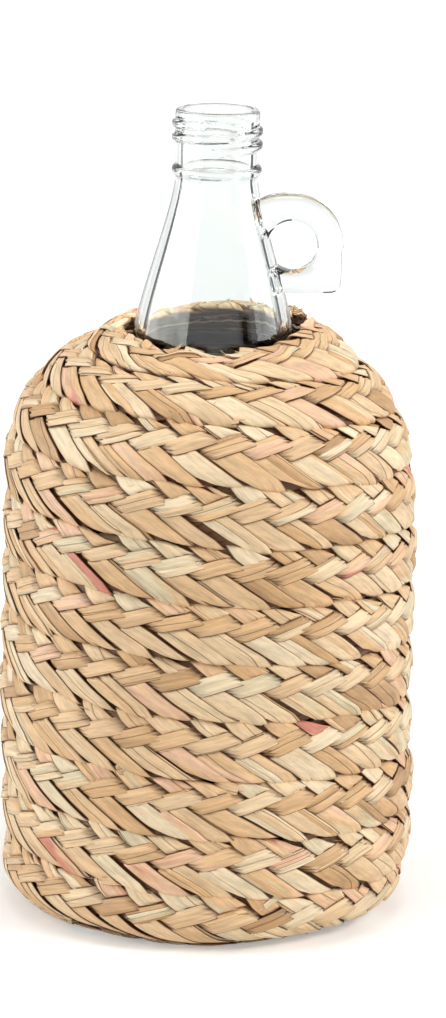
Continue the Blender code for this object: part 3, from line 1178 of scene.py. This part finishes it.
    def straight_line(self, length: Field | float, **spacing: Field | float) -> Field:
        """Curve along X with even points.

        Args:
            length: Its length.
            spacing: Either Count, a number of points, or Length, the distance between two.

        Returns:
            The curve.
        """
        line = self.node("GeometryNodeCurvePrimitiveLine",
                         {"Start": (0, 0, 0), "End": self.combine(length, 0.0, 0.0)})
        return self.out(self.node("GeometryNodeResampleCurve", {"Curve": line.outputs[0], **spacing},
                                  mode=next(iter(spacing)).upper()))

    def ring(self, sides: int, radius: Field | float = 1.0) -> Field:
        """Round section of a tube."""
        circle = self.node("GeometryNodeCurvePrimitiveCircle", {"Resolution": sides, "Radius": radius})
        return self.out(circle)

    def straight_tube(self, length: Field | float, step: Field | float, sides: int) -> Field:
        """Closed tube of radius 1 along X, to be bent into place."""
        return self.swept(self.straight_line(length, Length=step), self.ring(sides))

    def swept(self, path: Field, section: Field) -> Field:
        """Closed mesh of a section along a curve."""
        return self.out(self.node("GeometryNodeCurveToMesh", {"Curve": path, "Profile Curve": section,
                                                              "Fill Caps": True}))

    def moved(self, geometry: Field, position: Field) -> Field:
        """Geometry with its points at new positions."""
        return self.out(self.node("GeometryNodeSetPosition", {"Geometry": geometry, "Position": position}))

    def rounded(self, height: Field, power: float) -> Field:
        """Height in a round section, between -1 and 1, made fuller or flatter by a power."""
        return self.math("SIGN", height) * abs(height) ** power

    def sway(self, where: Field, scale: float, size: Place) -> Field:
        """Shift of a soft random field of some scale and size."""
        spread = self.vector("SUBTRACT", self.noise(where, scale, 1.0, output="Color"), (0.5, 0.5, 0.5))
        return self.vector("MULTIPLY", spread, size)

    def finish(self, geometry: Field) -> None:
        """End the tree, after the slow unevenness of hand work that all wound pieces share.

        Args:
            geometry: What the tree makes.
        """
        where = self.position()
        shift = self.vector("ADD", self.sway(where, self.SLOW_SCALE, self.SLOW_SWAY),
                            self.sway(where, self.QUICK_SCALE, self.QUICK_SWAY))
        x, y, z = self.separate(self.vector("ADD", where, shift))
        super().finish(self.moved(geometry, self.combine(x, y, self.math("MAXIMUM", z, 0.0))))


@dataclass(frozen=True)
class Leaf:
    """One of the leaves that make a strand, which share its way through the plait."""

    sides: int
    salt: int
    width_share: float = 1.0
    is_sliver: bool = False


class StrandTree(WoundTree):
    """Tree that plaits one strand of leaf and winds it.

    A strand slants across the plait, folds back at its edge and slants to the other one. It
    lies over its neighbours on its way down, but for a middle stretch, and under them on its
    way up, but for that same stretch. Places in its period run from 0 at the upper edge past
    1 at the lower edge to 2. Where a place is hidden, the next strip of leaf begins.
    """

    SIZES = ("Half Period", "Shear", "Plait Width", "Leaf Width", "Upward Share", "Upward Lift", "Fold Share",
             "Leaf Thickness", "Layer Lift", "Base", "Crown", "Scallop", "Tooth", "Overlap", "Row Tilt",
             "Leaf Tilt", "Step")
    LEAVES = (Leaf(12, 0), Leaf(6, 500, 0.5, True))
    OVER_AGAIN = 0.5
    FIRST_UNDER = 3 / 14
    DIVE = 0.026
    DOWN_CLEARANCE = 0.006
    UP_CLEARANCE = 0.016
    HIDDEN_PLACES = (0.356, 1.249, 1.892)
    HIDDEN_STEP = 0.001
    STRAND_KEYS = 1009
    OPENING = 0.0045
    SECTION_POWER = 0.55
    CROWN_POWER = 2.4
    TURNED_OVER = (0.25, 0.45)
    RIM_SCALLOPS = 4
    SLIVER_CHANCE = 0.68
    SLIVER_RISE = 0.00035
    SLIVER_SINK = 0.0006
    ALONG_STRETCH, ALONG_SHIFT = 1.08, 0.37
    WIDENING = Draw(0.88, 1.18, 1)
    OFFSET = Draw(-0.0016, 0.0016, 2)
    SLIVER_SHOWN = Draw(0.0, 1.0, 3)
    SLIVER_SIDE = Draw(-1.0, 1.0, 4)
    SLIVER_OFFSET = Draw(0.0025, 0.0055, 5)
    CURL = Draw(-0.00015, 0.00025, 6)
    TWIST = Draw(-0.0002, 0.0002, 7)
    LIFT = Draw(-0.00015, 0.00025, 8)
    TONE = Draw(0.0, 1.0, 9)
    FOLD_REACH = Draw(-0.0009, 0.0012, 10)
    FOLD_TOOTH = Draw(-0.0006, 0.0006, 11)
    FOLD_LIFT = Draw(-0.0009, 0.0009, 12)

    def __init__(self) -> None:
        """Build the tree."""
        sizes = dict.fromkeys(self.SIZES, float)
        super().__init__("plaited_strand", {"Strand": int, "Phase": float, **sizes})
        middle = self.middle_line()
        length = self.out(self.node("GeometryNodeCurveLength", {"Curve": middle}))
        both = self.node("GeometryNodeJoinGeometry")
        for leaf in self.LEAVES:
            self.data.links.new(self.leaf(middle, length, leaf).socket, both.inputs[0])
        self.finish(self.out(both))

    def over(self, crossing: Field, going_up: Field) -> Field:
        """Where the strand lies over its neighbours.

        Args:
            crossing: Place in the period, measured square to the neighbours.
            going_up: 1 on the way up and 0 on the way down.

        Returns:
            1 over them and 0 under them.
        """
        def step(place: float) -> Field:
            """Climb from 0 to 1 at a place in the period."""
            return self.ramp(crossing, place - self.DIVE / 2, place + self.DIVE / 2)

        clear = self.DOWN_CLEARANCE
        down = 1 - step(self.FIRST_UNDER - clear) + step(self.OVER_AGAIN + clear)
        clear = self.UP_CLEARANCE
        up = step(2 - self.OVER_AGAIN + clear) - step(2 - self.FIRST_UNDER - clear)
        return down + (up - down) * going_up

    def strip_key(self, across: Field) -> Field:
        """Number of the strip of leaf.

        Args:
            across: Crossings of the plait so far.

        Returns:
            Whole number, other for each strip of each strand.
        """
        lap = self.math("FLOOR", across / 2)
        local = across - lap * 2
        strip = lap * 3
        for place in self.HIDDEN_PLACES:
            strip = strip + self.ramp(local, place, place + self.HIDDEN_STEP, False)
        return self.math("ROUND", strip) + self.input("Strand") * self.STRAND_KEYS

    def half_width(self, near: Field, going_up: Field) -> Field:
        """Half width of the strand, measured along the plait.

        Args:
            near: Distance from the nearer edge of the plait.
            going_up: 1 on the way up and 0 on the way down.

        Returns:
            The half width, narrower at the folds.
        """
        width, period = self.input("Plait Width"), self.input("Half Period")
        lean = period + self.input("Shear") * (going_up * 2 - 1)
        stretch = self.math("SQRT", width * width + lean * lean) / width
        whole = self.input("Leaf Width") * stretch * (1 - going_up * (1 - self.input("Upward Share")))
        folded = self.input("Fold Share") * self.input("Leaf Width") * (period / width)
        return (folded + (whole - folded) * self.ramp(near, 0.0, self.OPENING)) / 2

    def leaf(self, middle: Field, length: Field, leaf: Leaf) -> Field:
        """One leaf of the strand.

        Args:
            middle: Middle line of the plait.
            length: Its length.
            leaf: Which leaf it is.

        Returns:
            The leaf's geometry.
        """
        width, period, shear = self.input("Plait Width"), self.input("Half Period"), self.input("Shear")
        bend, salt = self.input("Layer Lift"), leaf.salt
        tube = self.straight_tube(length, self.input("Step"), leaf.sides)
        along, side, top = self.separate(self.position())

        across = (length - along) / period + self.input("Phase")
        section = self.math("FLOOR", across)
        share = across - section
        going_up = self.math("MODULO", section, 2.0)
        near = self.math("MINIMUM", share, 1 - share) * width
        key = self.strip_key(across)

        half = self.half_width(near, going_up) * leaf.width_share * self.draw(self.WIDENING, key, salt)
        offset = side * half + self.draw(self.OFFSET, key, salt)
        if leaf.is_sliver:
            towards = self.math("SIGN", self.draw(self.SLIVER_SIDE, key, salt))
            offset = offset + towards * self.draw(self.SLIVER_OFFSET, key, salt)
        run = along + offset

        crossing = ((length - run) / period + self.input("Phase") + across) / 2
        crossing = self.clamp(crossing, section, section + 1)
        crossing = crossing - self.math("FLOOR", section / 2) * 2
        over = self.over(crossing, going_up)
        layer = over * 2 - 1

        turned = self.math("MINIMUM", near / bend, pi / 2)
        bent_cos, bent_sin = self.math("COSINE", turned), self.math("SINE", turned)
        thick = self.rounded(top, self.SECTION_POWER) * self.input("Leaf Thickness") / 2
        inset = bend * (1 - bent_cos) + self.math("MAXIMUM", 0.0, near - bend * (pi / 2)) - thick * bent_cos
        inset = inset + bend * (pi / 2 - 1) * self.ramp(near, bend * (pi / 2), width / 2)
        rim = 1 - self.math("MINIMUM", near / (self.input("Scallop") * self.RIM_SCALLOPS), 1.0)
        late = self.math("GREATER_THAN", share, 0.5)
        at_top = 1 - abs(late - going_up)
        tooth = (1 - at_top * 2) * side * (self.input("Tooth") + self.draw(self.FOLD_TOOTH, key))
        inset = inset + (self.input("Scallop") * side * side - self.input("Overlap") + tooth
                         - self.draw(self.FOLD_REACH, key)) * rim
        inset = inset / width
        folded = inset + (1 - inset * 2) * late
        from_top = going_up + (1 - going_up * 2) * folded

        crown = 1 - abs(from_top * 2 - 1) ** self.CROWN_POWER
        turned_over = self.math("MAXIMUM", going_up, self.ramp(from_top, *self.TURNED_OVER))
        tilt = self.input("Leaf Tilt") * (1 - turned_over * 2) + self.draw(self.TWIST, key, salt)
        out = self.input("Base") + self.input("Crown") * crown + layer * bend * bent_sin
        out = out + going_up * (layer + 1) * self.input("Upward Lift")
        out = out + (1 - going_up * 2) * bent_sin * thick - self.draw(self.CURL, key, salt) * side * side
        out = out + tilt * side + self.draw(self.LIFT, key, salt) + self.input("Row Tilt") * (from_top - 0.5)
        out = out + self.draw(self.FOLD_LIFT, key) * rim
        if leaf.is_sliver:
            shown = self.math("GREATER_THAN", self.draw(self.SLIVER_SHOWN, key, salt), self.SLIVER_CHANCE)
            out = out + shown * (self.SLIVER_RISE + self.SLIVER_SINK) - self.SLIVER_SINK

        # leaf_depth is a painted shade mask: 1 where the leaf lies under its neighbours, 0.5 at the fold
        # edges along the seams, 0 on top.
        tube = self.store(tube, {"leaf_along": along * self.ALONG_STRETCH + key * self.ALONG_SHIFT,
                                 "leaf_side": side, "leaf_tone": self.draw(self.TONE, key, salt),
                                 "leaf_depth": 1 - over * (bent_sin * 0.5 + 0.5)})
        turn = self.turn_at(middle, run + shear * (from_top - 0.5))
        return self.moved(tube, self.place(turn, 1 - from_top, out))


class ThreadTree(WoundTree):
    """Tree that lays sewing twine behind the seam of a winding."""

    SIZES = ("Thread Depth", "Thread Radius", "Stitches Per Turn", "Stitch Reach")
    SIDES = 8

    def __init__(self) -> None:
        """Build the tree."""
        super().__init__("sewing_twine", {"First Turn": float, **dict.fromkeys(self.SIZES, float)})
        count = 2 * self.MIDDLE_POINTS
        share = self.index() / (count - 1)
        first = self.input("First Turn")
        turn = first + (self.input("Turns") - first) * share
        lower, upper = self.edges(turn)
        seam = self.input("Row Gap") / -2 / (upper - lower)
        wave = self.math("SINE", turn * self.input("Stitches Per Turn") * tau)
        out = 0 - self.input("Thread Depth") + wave * self.input("Stitch Reach")
        path = self.moved(self.straight_line(1.0, Count=count), self.place(turn, seam, out))
        path = self.store(path, {"twine_along": self.out(self.node("GeometryNodeSplineParameter"), "Length")})
        around = self.index() / self.SIDES
        ring = self.store(self.ring(self.SIDES, self.input("Thread Radius")), {"twine_round": around})
        self.finish(self.swept(path, ring))


@dataclass(frozen=True)
class LooseKind:
    """Kind of loose end: how many there are, where, and how large."""

    name: str
    count: int
    rim_share: float
    length: float
    half_width: float
    thickness: float
    rise: float
    standoff: float = 0.0014


class LooseTree(WoundTree):
    """Tree that leaves loose ends sticking out along the seams and the rim of a winding."""

    SIZES = ("Rim Share", "Length", "Half Width", "Thickness", "Rise", "Standoff")
    STEPS, SIDES = 14, 8
    RIM_CALM = 0.6
    SECTION_POWER = 0.6
    ROOT = 0.3
    ALONG_SHIFT = 0.29
    AT_RIM = Draw(0.0, 1.0, 1)
    TURN = Draw(0.0, 1.0, 2)
    AT_TOP = Draw(0.0, 1.0, 3)
    FROM_SEAM = Draw(0.0, 0.14, 4)
    HEADING = Draw(-0.7, 0.7, 5)
    WAY = Draw(-1.0, 1.0, 6)
    TAPER = Draw(0.1, 0.6, 7)
    STRETCH = Draw(0.45, 1.3, 8)
    WIDENING = Draw(0.5, 1.4, 9)
    RAISING = Draw(0.25, 1.3, 10)
    CUP = Draw(-0.35, 0.35, 11)
    TONE = Draw(0.0, 1.0, 12)

    def __init__(self) -> None:
        """Build the tree."""
        sizes = dict.fromkeys(self.SIZES, float)
        super().__init__("loose_ends", {"Count": int, "Plait Width": float, **sizes})
        row = self.node("GeometryNodeMeshLine", {"Count": self.input("Count"), "Offset": (0, 0, 0)})
        placed = self.node("GeometryNodeInstanceOnPoints", {
            "Points": row.outputs[0], "Instance": self.straight_tube(1.0, 1 / self.STEPS, self.SIDES)})
        numbered = self.store(self.out(placed), {"end_number": self.index()}, "INSTANCE")
        ends = self.out(self.node("GeometryNodeRealizeInstances", {"Geometry": numbered}))
        number = self.node("GeometryNodeInputNamedAttribute", {"Name": "end_number"}, data_type="FLOAT")
        key = self.math("ROUND", self.out(number))
        along, side, top = self.separate(self.position())

        at_rim = self.math("LESS_THAN", self.draw(self.AT_RIM, key), self.input("Rim Share"))
        reach = at_rim + (self.input("Turns") - 1) * (1 - at_rim)
        turn = self.input("Turns") - reach * self.draw(self.TURN, key) - (1 - at_rim)
        at_top = self.math("GREATER_THAN", self.draw(self.AT_TOP, key), 0.5)
        seam = self.draw(self.FROM_SEAM, key)
        share = seam + (1 - seam * 2) * self.math("MAXIMUM", at_top, at_rim)

        heading = self.draw(self.HEADING, key) * (1 - at_rim * self.RIM_CALM)
        way = self.math("SIGN", self.draw(self.WAY, key))
        taper = 1 - along * along * along * self.draw(self.TAPER, key)
        forward = along * self.input("Length") * self.draw(self.STRETCH, key)
        sideways = side * taper * self.input("Half Width") * self.draw(self.WIDENING, key)
        cosine, sine = self.math("COSINE", heading), self.math("SINE", heading)
        x, y, _ = self.separate(self.place(turn, share, 0.0))
        girth = self.math("SQRT", x * x + y * y) * tau
        turn = turn + way * (forward * cosine - sideways * sine) / girth
        share = share + (forward * sine + sideways * cosine) / self.input("Plait Width")

        raised = self.input("Rise") * self.draw(self.RAISING, key) * along * along
        thick = self.rounded(top, self.SECTION_POWER)
        cup = side * side * self.input("Half Width") * self.draw(self.CUP, key)
        out = self.input("Standoff") + raised + thick * self.input("Thickness") / 2 + cup
        # leaf_depth is a painted shade mask: darker towards the root of each loose end, where it comes out of
        # the plait.
        ends = self.store(ends, {"leaf_along": forward + key * self.ALONG_SHIFT, "leaf_side": side,
                                 "leaf_tone": self.draw(self.TONE, key),
                                 "leaf_depth": self.ramp(along, self.ROOT, 0.0)})
        self.finish(self.moved(ends, self.place(turn, share, out)))


@dataclass
class SeagrassCover:
    """Plaited cover of the wall and shoulder, and the plaited mat under the jug."""

    jug: GlassJug
    strands: int = 7
    plait_width: float = 0.0236
    plait_thickness: float = 0.0065
    half_period: float = 0.0528
    shear: float = 0.0145
    leaf_width: float = 0.0077
    upward_share: float = 0.80
    upward_lift: float = 0.0002
    fold_share: float = 0.74
    leaf_thickness: float = 0.0010
    layer_lift: float = 0.00095
    base: float = 0.0014
    crown: float = 0.0016
    scallop: float = 0.0009
    tooth: float = 0.0006
    overlap: float = 0.0005
    row_tilt: float = 0.0008
    leaf_tilt: float = 0.00028
    step: float = 0.0014
    clearance: float = 0.0003
    heel_radius: float = 0.0115
    heel_lap: float = 0.004
    wall_trim: float = 0.002
    rim_standoff: float = 0.0004
    rim_climb: float = 0.0077
    high_arm: Point = (0.547, 0.193)
    overrun: float = 0.004
    headroom: float = 0.018
    start_angle: float = radians(-135)
    rim_dip: float = 0.0085
    rim_waver: float = 0.012
    rim_slack: float = 0.0022
    heel_ease: float = 0.0024
    shoulder_press: float = 0.0030
    low_lean: float = 0.0020
    mat_start_angle: float = radians(90)
    mat_hub_radius: float = 0.0015
    mat_gap: float = 0.0006
    mat_overrun_share: float = 0.1
    thread_radius: float = 0.0005
    thread_depth: float = 0.0021
    stitches_per_turn: float = 38.0
    stitch_reach: float = 0.0003
    loose_kinds: tuple[LooseKind, ...] = (
        LooseKind("loose_leaf_ends", 52, 0.28, 0.0105, 0.0026, 0.0008, 0.0028),
        LooseKind("loose_fibres", 90, 0.10, 0.013, 0.00026, 0.0004, 0.0034),
    )
    heel_points: int = 24
    wall_points: int = 40
    course_points: int = 60
    seed: int = 11

    @property
    def middle(self) -> float:
        """Distance from the glass to the middle of the plait."""
        return self.clearance + self.plait_thickness / 2

    def cover_winding(self) -> Winding:
        """Winding from the mat over the heel, up the wall and over the shoulder.

        Returns:
            The winding, on a course that runs on a little at both ends.
        """
        jug = self.jug
        heel = arc((jug.body_radius - self.heel_radius, jug.foot + self.heel_radius), self.heel_radius,
                   -pi / 2, 0, self.heel_points)
        heights = np.linspace(heel[-1][1] + self.wall_trim, jug.wall_top - self.wall_trim, self.wall_points)
        rise = jug.shoulder_rise + self.rim_climb
        rim = (jug.cone_foot_radius + self.rim_standoff, jug.wall_top + rise)
        shoulder = climb((jug.body_radius, jug.wall_top), (0.0, jug.shoulder_arm / rise), self.high_arm,
                         rim, self.course_points)
        wall = [(jug.body_radius, z) for z in heights]
        course = np.array(moved_out(heel + wall + shoulder, self.middle))
        length = float(np.hypot(*np.diff(course, axis=0).T).sum())
        before = run_on(course[1], course[0], self.overrun)
        after = run_on(course[-2], course[-1], self.headroom)
        return Winding(course=tuple(map(tuple, np.vstack([before, course, after]))),
                       start=self.heel_lap + self.overrun, stop=length + self.overrun,
                       start_angle=self.start_angle, width=self.plait_width, rim_dip=self.rim_dip,
                       rim_waver=self.rim_waver, rim_standoff=self.rim_slack, heel_ease=self.heel_ease,
                       shoulder_press=self.shoulder_press, low_lean=self.low_lean)

    def mat_winding(self) -> Winding:
        """Winding under the jug.

        Returns:
            The winding, from the axis outwards.
        """
        reach = self.jug.body_radius - self.heel_radius + self.heel_lap - self.mat_gap
        height = self.jug.foot - self.middle
        shares = np.linspace(0, 1 + self.mat_overrun_share, self.course_points)
        return Winding(course=tuple((reach * share, height) for share in shares), start=self.mat_hub_radius,
                       stop=reach, start_angle=self.mat_start_angle, width=self.plait_width)

    def build(self, leaf: bpy.types.Material, twine: bpy.types.Material) -> None:
        """Build the cover, the mat, their loose ends and their sewing twine.

        Args:
            leaf: Seagrass material.
            twine: Twine material.
        """
        cover, mat = self.cover_winding(), self.mat_winding()
        leafy, sewn = ({"Seed": self.seed, "Material": material} for material in (leaf, twine))
        tree, sizes = StrandTree(), {**field_values(self, StrandTree.SIZES), **leafy}
        for label, winding, part in (("cover", cover, Part.COVER), ("mat", mat, Part.MAT)):
            first = 0 if part is Part.COVER else self.strands
            for number in range(self.strands):
                strand = first + number
                mesh = winding.grown(tree, {**sizes, "Strand": strand, "Phase": 2 * strand / self.strands})
                add_piece(f"{label}_strand_{number + 1}", mesh, part)
        tree = LooseTree()
        for kind in self.loose_kinds:
            mesh = cover.grown(tree, {**field_values(kind, LooseTree.SIZES), **leafy, "Count": kind.count,
                                      "Plait Width": self.plait_width})
            add_piece(kind.name, mesh, Part.COVER)
        tree, sizes = ThreadTree(), {**field_values(self, ThreadTree.SIZES), **sewn}
        for name, winding, first, part in (("cover_stitches", cover, 0.0, Part.COVER_THREAD),
                                           ("mat_stitches", mat, 1.0, Part.MAT_THREAD)):
            add_piece(name, winding.grown(tree, {**sizes, "First Turn": first}), part)


# Studio


@dataclass(frozen=True)
class Window:
    """Bright tall screen on an arc, between two bearings in degrees."""

    first: float
    last: float
    strength: float
    colour: Colour


@dataclass(frozen=True)
class Lamp:
    """Soft square lamp that looks at the middle of the vase."""

    name: str
    place: Place
    size: float
    power: float
    colour: Colour


@dataclass
class Studio:
    """Pale floor, soft lamps, cards and screens that only the glass sees, and the camera."""

    camera_place: Place = (0.0, -1.8, 0.595)
    aim: Place = (0.0056, 0.0, 0.1672)
    roll: float = radians(1.25)
    lens: float = 157.0
    sensor: float = 36.0
    white: float = 1.0
    ambient: float = 0.4
    behind_glass: float = 0.6
    floor_size: float = 8.0
    floor_segments: int = 8
    floor_drop: float = 0.0002
    floor_colour: Colour = (0.88, 0.88, 0.875)
    floor_grain: float = 0.02
    floor_grain_scale: float = 60.0
    floor_roughness: float = 0.85
    floor_glow: Point = (0.3, 0.7)
    floor_glow_radii: Point = (0.3, 1.5)
    floor_loss: float = 0.35
    card_distance: float = 1.3
    card_angles: tuple[float, ...] = (50.0, -50.0, 92.0, -92.0, 130.0, -130.0)
    card_half_width: float = 0.15
    card_height: float = 0.6
    card_black: float = 0.004
    card_grain: float = 0.01
    card_grain_scale: float = 40.0
    card_roughness: float = 0.9
    high_card_sides: Point = (-0.45, 0.035)
    high_card_heights: Point = (0.62, 1.0)
    window_distance: float = 1.0
    window_heights: Point = (0.05, 0.75)
    window_columns: int = 12
    window_patch_scale: float = 3.0
    window_patch: Point = (0.25, 0.7)
    window_shares: Point = (0.6, 0.5)
    windows: tuple[Window, ...] = (
        Window(-112.0, -38.0, 7.4, (0.97, 1.0, 0.93)),
        Window(66.0, 104.0, 5.7, (0.93, 1.0, 1.0)),
    )
    lamp_aim: Place = (0.0, 0.0, 0.17)
    lamps: tuple[Lamp, ...] = (
        Lamp("key_lamp", (1.95, -0.9, 1.7), 0.8, 27.5, (1.0, 0.985, 0.96)),
        Lamp("fill_lamp", (-2.05, -0.55, 1.1), 1.1, 13.5, (0.97, 0.985, 1.0)),
        Lamp("top_lamp", (0.0, -0.2, 2.0), 0.8, 10.0, (1.0, 1.0, 1.0)),
    )

    def rays_for_white(self, tree: Tree) -> Field:
        """Which rays see the plain white surroundings.

        Args:
            tree: Shader tree that asks.

        Returns:
            1 for those rays, and less for those that passed through glass.
        """
        path = tree.node("ShaderNodeLightPath")
        seen = tree.out(path, "Is Camera Ray") + tree.out(path, "Is Glossy Ray")
        return tree.clamp(seen + tree.out(path, "Is Transmission Ray") * self.behind_glass)

    def build_world(self) -> None:
        """White surroundings for the eye, and a plainer level of light for the object."""
        world = bpy.data.worlds.new("studio_air")
        bpy.context.scene.world = world
        world.use_nodes = True
        tree = Tree(world.node_tree)
        background = world.node_tree.nodes["Background"]
        background.inputs["Color"].default_value = (1.0, 1.0, 1.0, 1.0)
        strength = self.rays_for_white(tree) * (self.white - self.ambient) + self.ambient
        tree.feed(background.inputs["Strength"], strength)

    def add_stage(self, name: str, data: bpy.types.Mesh, material: bpy.types.Material,
                  unseen: Sequence[str] = ()) -> None:
        """Put a mesh on the stage.

        Args:
            name: Name of its object.
            data: The mesh.
            material: Its material.
            unseen: Kinds of rays that don't see it.
        """
        data.materials.append(material)
        stage = in_scene(name, data)
        for rays in unseen:
            setattr(stage, f"visible_{rays}", False)

    def build_floor(self) -> None:
        """Pale floor that keeps the vase's shadow."""
        mesh = bmesh.new()
        bmesh.ops.create_grid(mesh, x_segments=self.floor_segments, y_segments=self.floor_segments,
                              size=self.floor_size / 2)
        bmesh.ops.translate(mesh, verts=mesh.verts, vec=(0, 0, -self.floor_drop))
        data = bpy.data.meshes.new("floor")
        mesh.to_mesh(data)
        mesh.free()
        tree = ShaderTree("pale_floor")
        place = tree.place()
        grain = tree.noise(place, self.floor_grain_scale, 3.0) * self.floor_grain
        # Painted shade: the floor is darker where it is seen through the glass.
        through = 1 - tree.out(tree.node("ShaderNodeLightPath"), "Is Transmission Ray") * self.floor_loss
        radius = tree.out(tree.node("ShaderNodeVectorMath", {0: place}, operation="LENGTH"), "Value")
        glow = tree.ramp(radius, *self.floor_glow_radii) * (self.floor_glow[1] - self.floor_glow[0])
        tree.surface({"Base Color": tree.combine(*[(grain + level) * through for level in self.floor_colour]),
                      "Roughness": self.floor_roughness, "Emission Color": (1.0, 1.0, 1.0, 1.0),
                      "Emission Strength": self.rays_for_white(tree) * (glow + self.floor_glow[0])})
        self.add_stage("floor", data, tree.material)

    def build_cards(self) -> None:
        """Dark cards beside the backdrop and one high behind it, which draw the outlines of the glass."""
        tree = ShaderTree("dark_card")
        grey = tree.noise(tree.place(), self.card_grain_scale) * self.card_grain + self.card_black
        tree.surface({"Base Color": tree.combine(grey, grey, grey), "Roughness": self.card_roughness})
        sides = []
        for angle in map(radians, self.card_angles):
            middle = Vector((sin(angle), cos(angle))) * self.card_distance
            half = Vector((cos(angle), -sin(angle))) * self.card_half_width
            sides.append((middle - half, middle + half, (0.0, self.card_height)))
        left, right = (Vector((x, self.card_distance)) for x in self.high_card_sides)
        sides.append((left, right, self.high_card_heights))
        for number, (left, right, (low, high)) in enumerate(sides, 1):
            data = bpy.data.meshes.new(f"dark_card_{number}")
            data.from_pydata([(*left, low), (*right, low), (*right, high), (*left, high)], [], [(0, 1, 2, 3)])
            self.add_stage(f"dark_card_{number}", data, tree.material, ("camera", "diffuse", "shadow"))

    def build_windows(self) -> None:
        """Bright tall screens at the sides, whose reflections lie on the foot of the glass cone."""
        count = self.window_columns
        low_share, rise_share = self.window_shares
        for number, window in enumerate(self.windows, 1):
            tree = ShaderTree(f"window_light_{number}")
            patch = tree.ramp(tree.noise(tree.place(), self.window_patch_scale), *self.window_patch)
            strength = patch * (window.strength * rise_share) + window.strength * low_share
            tree.surface({"Base Color": (0.0, 0.0, 0.0, 1.0), "Emission Color": (*window.colour, 1.0),
                          "Emission Strength": strength})
            angles = np.linspace(radians(window.first), radians(window.last), count)
            columns = [(sin(a) * self.window_distance, -cos(a) * self.window_distance) for a in angles]
            data = bpy.data.meshes.new(f"window_{number}")
            data.from_pydata([(x, y, z) for z in self.window_heights for x, y in columns], [],
                             [(i, i + 1, i + 1 + count, i + count) for i in range(count - 1)])
            self.add_stage(f"window_{number}", data, tree.material,
                           ("camera", "diffuse", "transmission", "shadow"))

    def build_lamps(self) -> None:
        """Key from the right front, fill from the left and a soft top light."""
        for lamp in self.lamps:
            data = bpy.data.lights.new(lamp.name, "AREA")
            data.size, data.energy, data.color = lamp.size, lamp.power, lamp.colour
            holder = in_scene(lamp.name, data)
            holder.location = lamp.place
            look = Vector(self.lamp_aim) - Vector(lamp.place)
            holder.rotation_euler = look.to_track_quat("-Z", "Y").to_euler()

    def build_camera(self) -> None:
        """Camera at the photograph's place and angle."""
        data = bpy.data.cameras.new("camera")
        data.lens, data.sensor_width = self.lens, self.sensor
        camera = in_scene("camera", data)
        place = Vector(self.camera_place)
        look = (Vector(self.aim) - place).to_track_quat("-Z", "Y").to_matrix()
        turned = look @ Matrix.Rotation(self.roll, 3, "Z")
        camera.matrix_world = Matrix.Translation(place) @ turned.to_4x4()
        bpy.context.scene.camera = camera

    def build(self) -> None:
        """Set up the whole studio."""
        self.build_world()
        self.build_floor()
        self.build_cards()
        self.build_windows()
        self.build_lamps()
        self.build_camera()
        bpy.context.scene.view_settings.view_transform = "Standard"


def main() -> None:
    """Build the studio and the vase."""
    logging.basicConfig(level=logging.INFO, format="%(message)s")
    Studio().build()
    jug = GlassJug()
    jug.build(GlassFinish().material())
    SeagrassCover(jug).build(SeagrassFinish().material(LeafFibre().group()), TwineFinish().material())


if __name__ == "__main__":
    main()
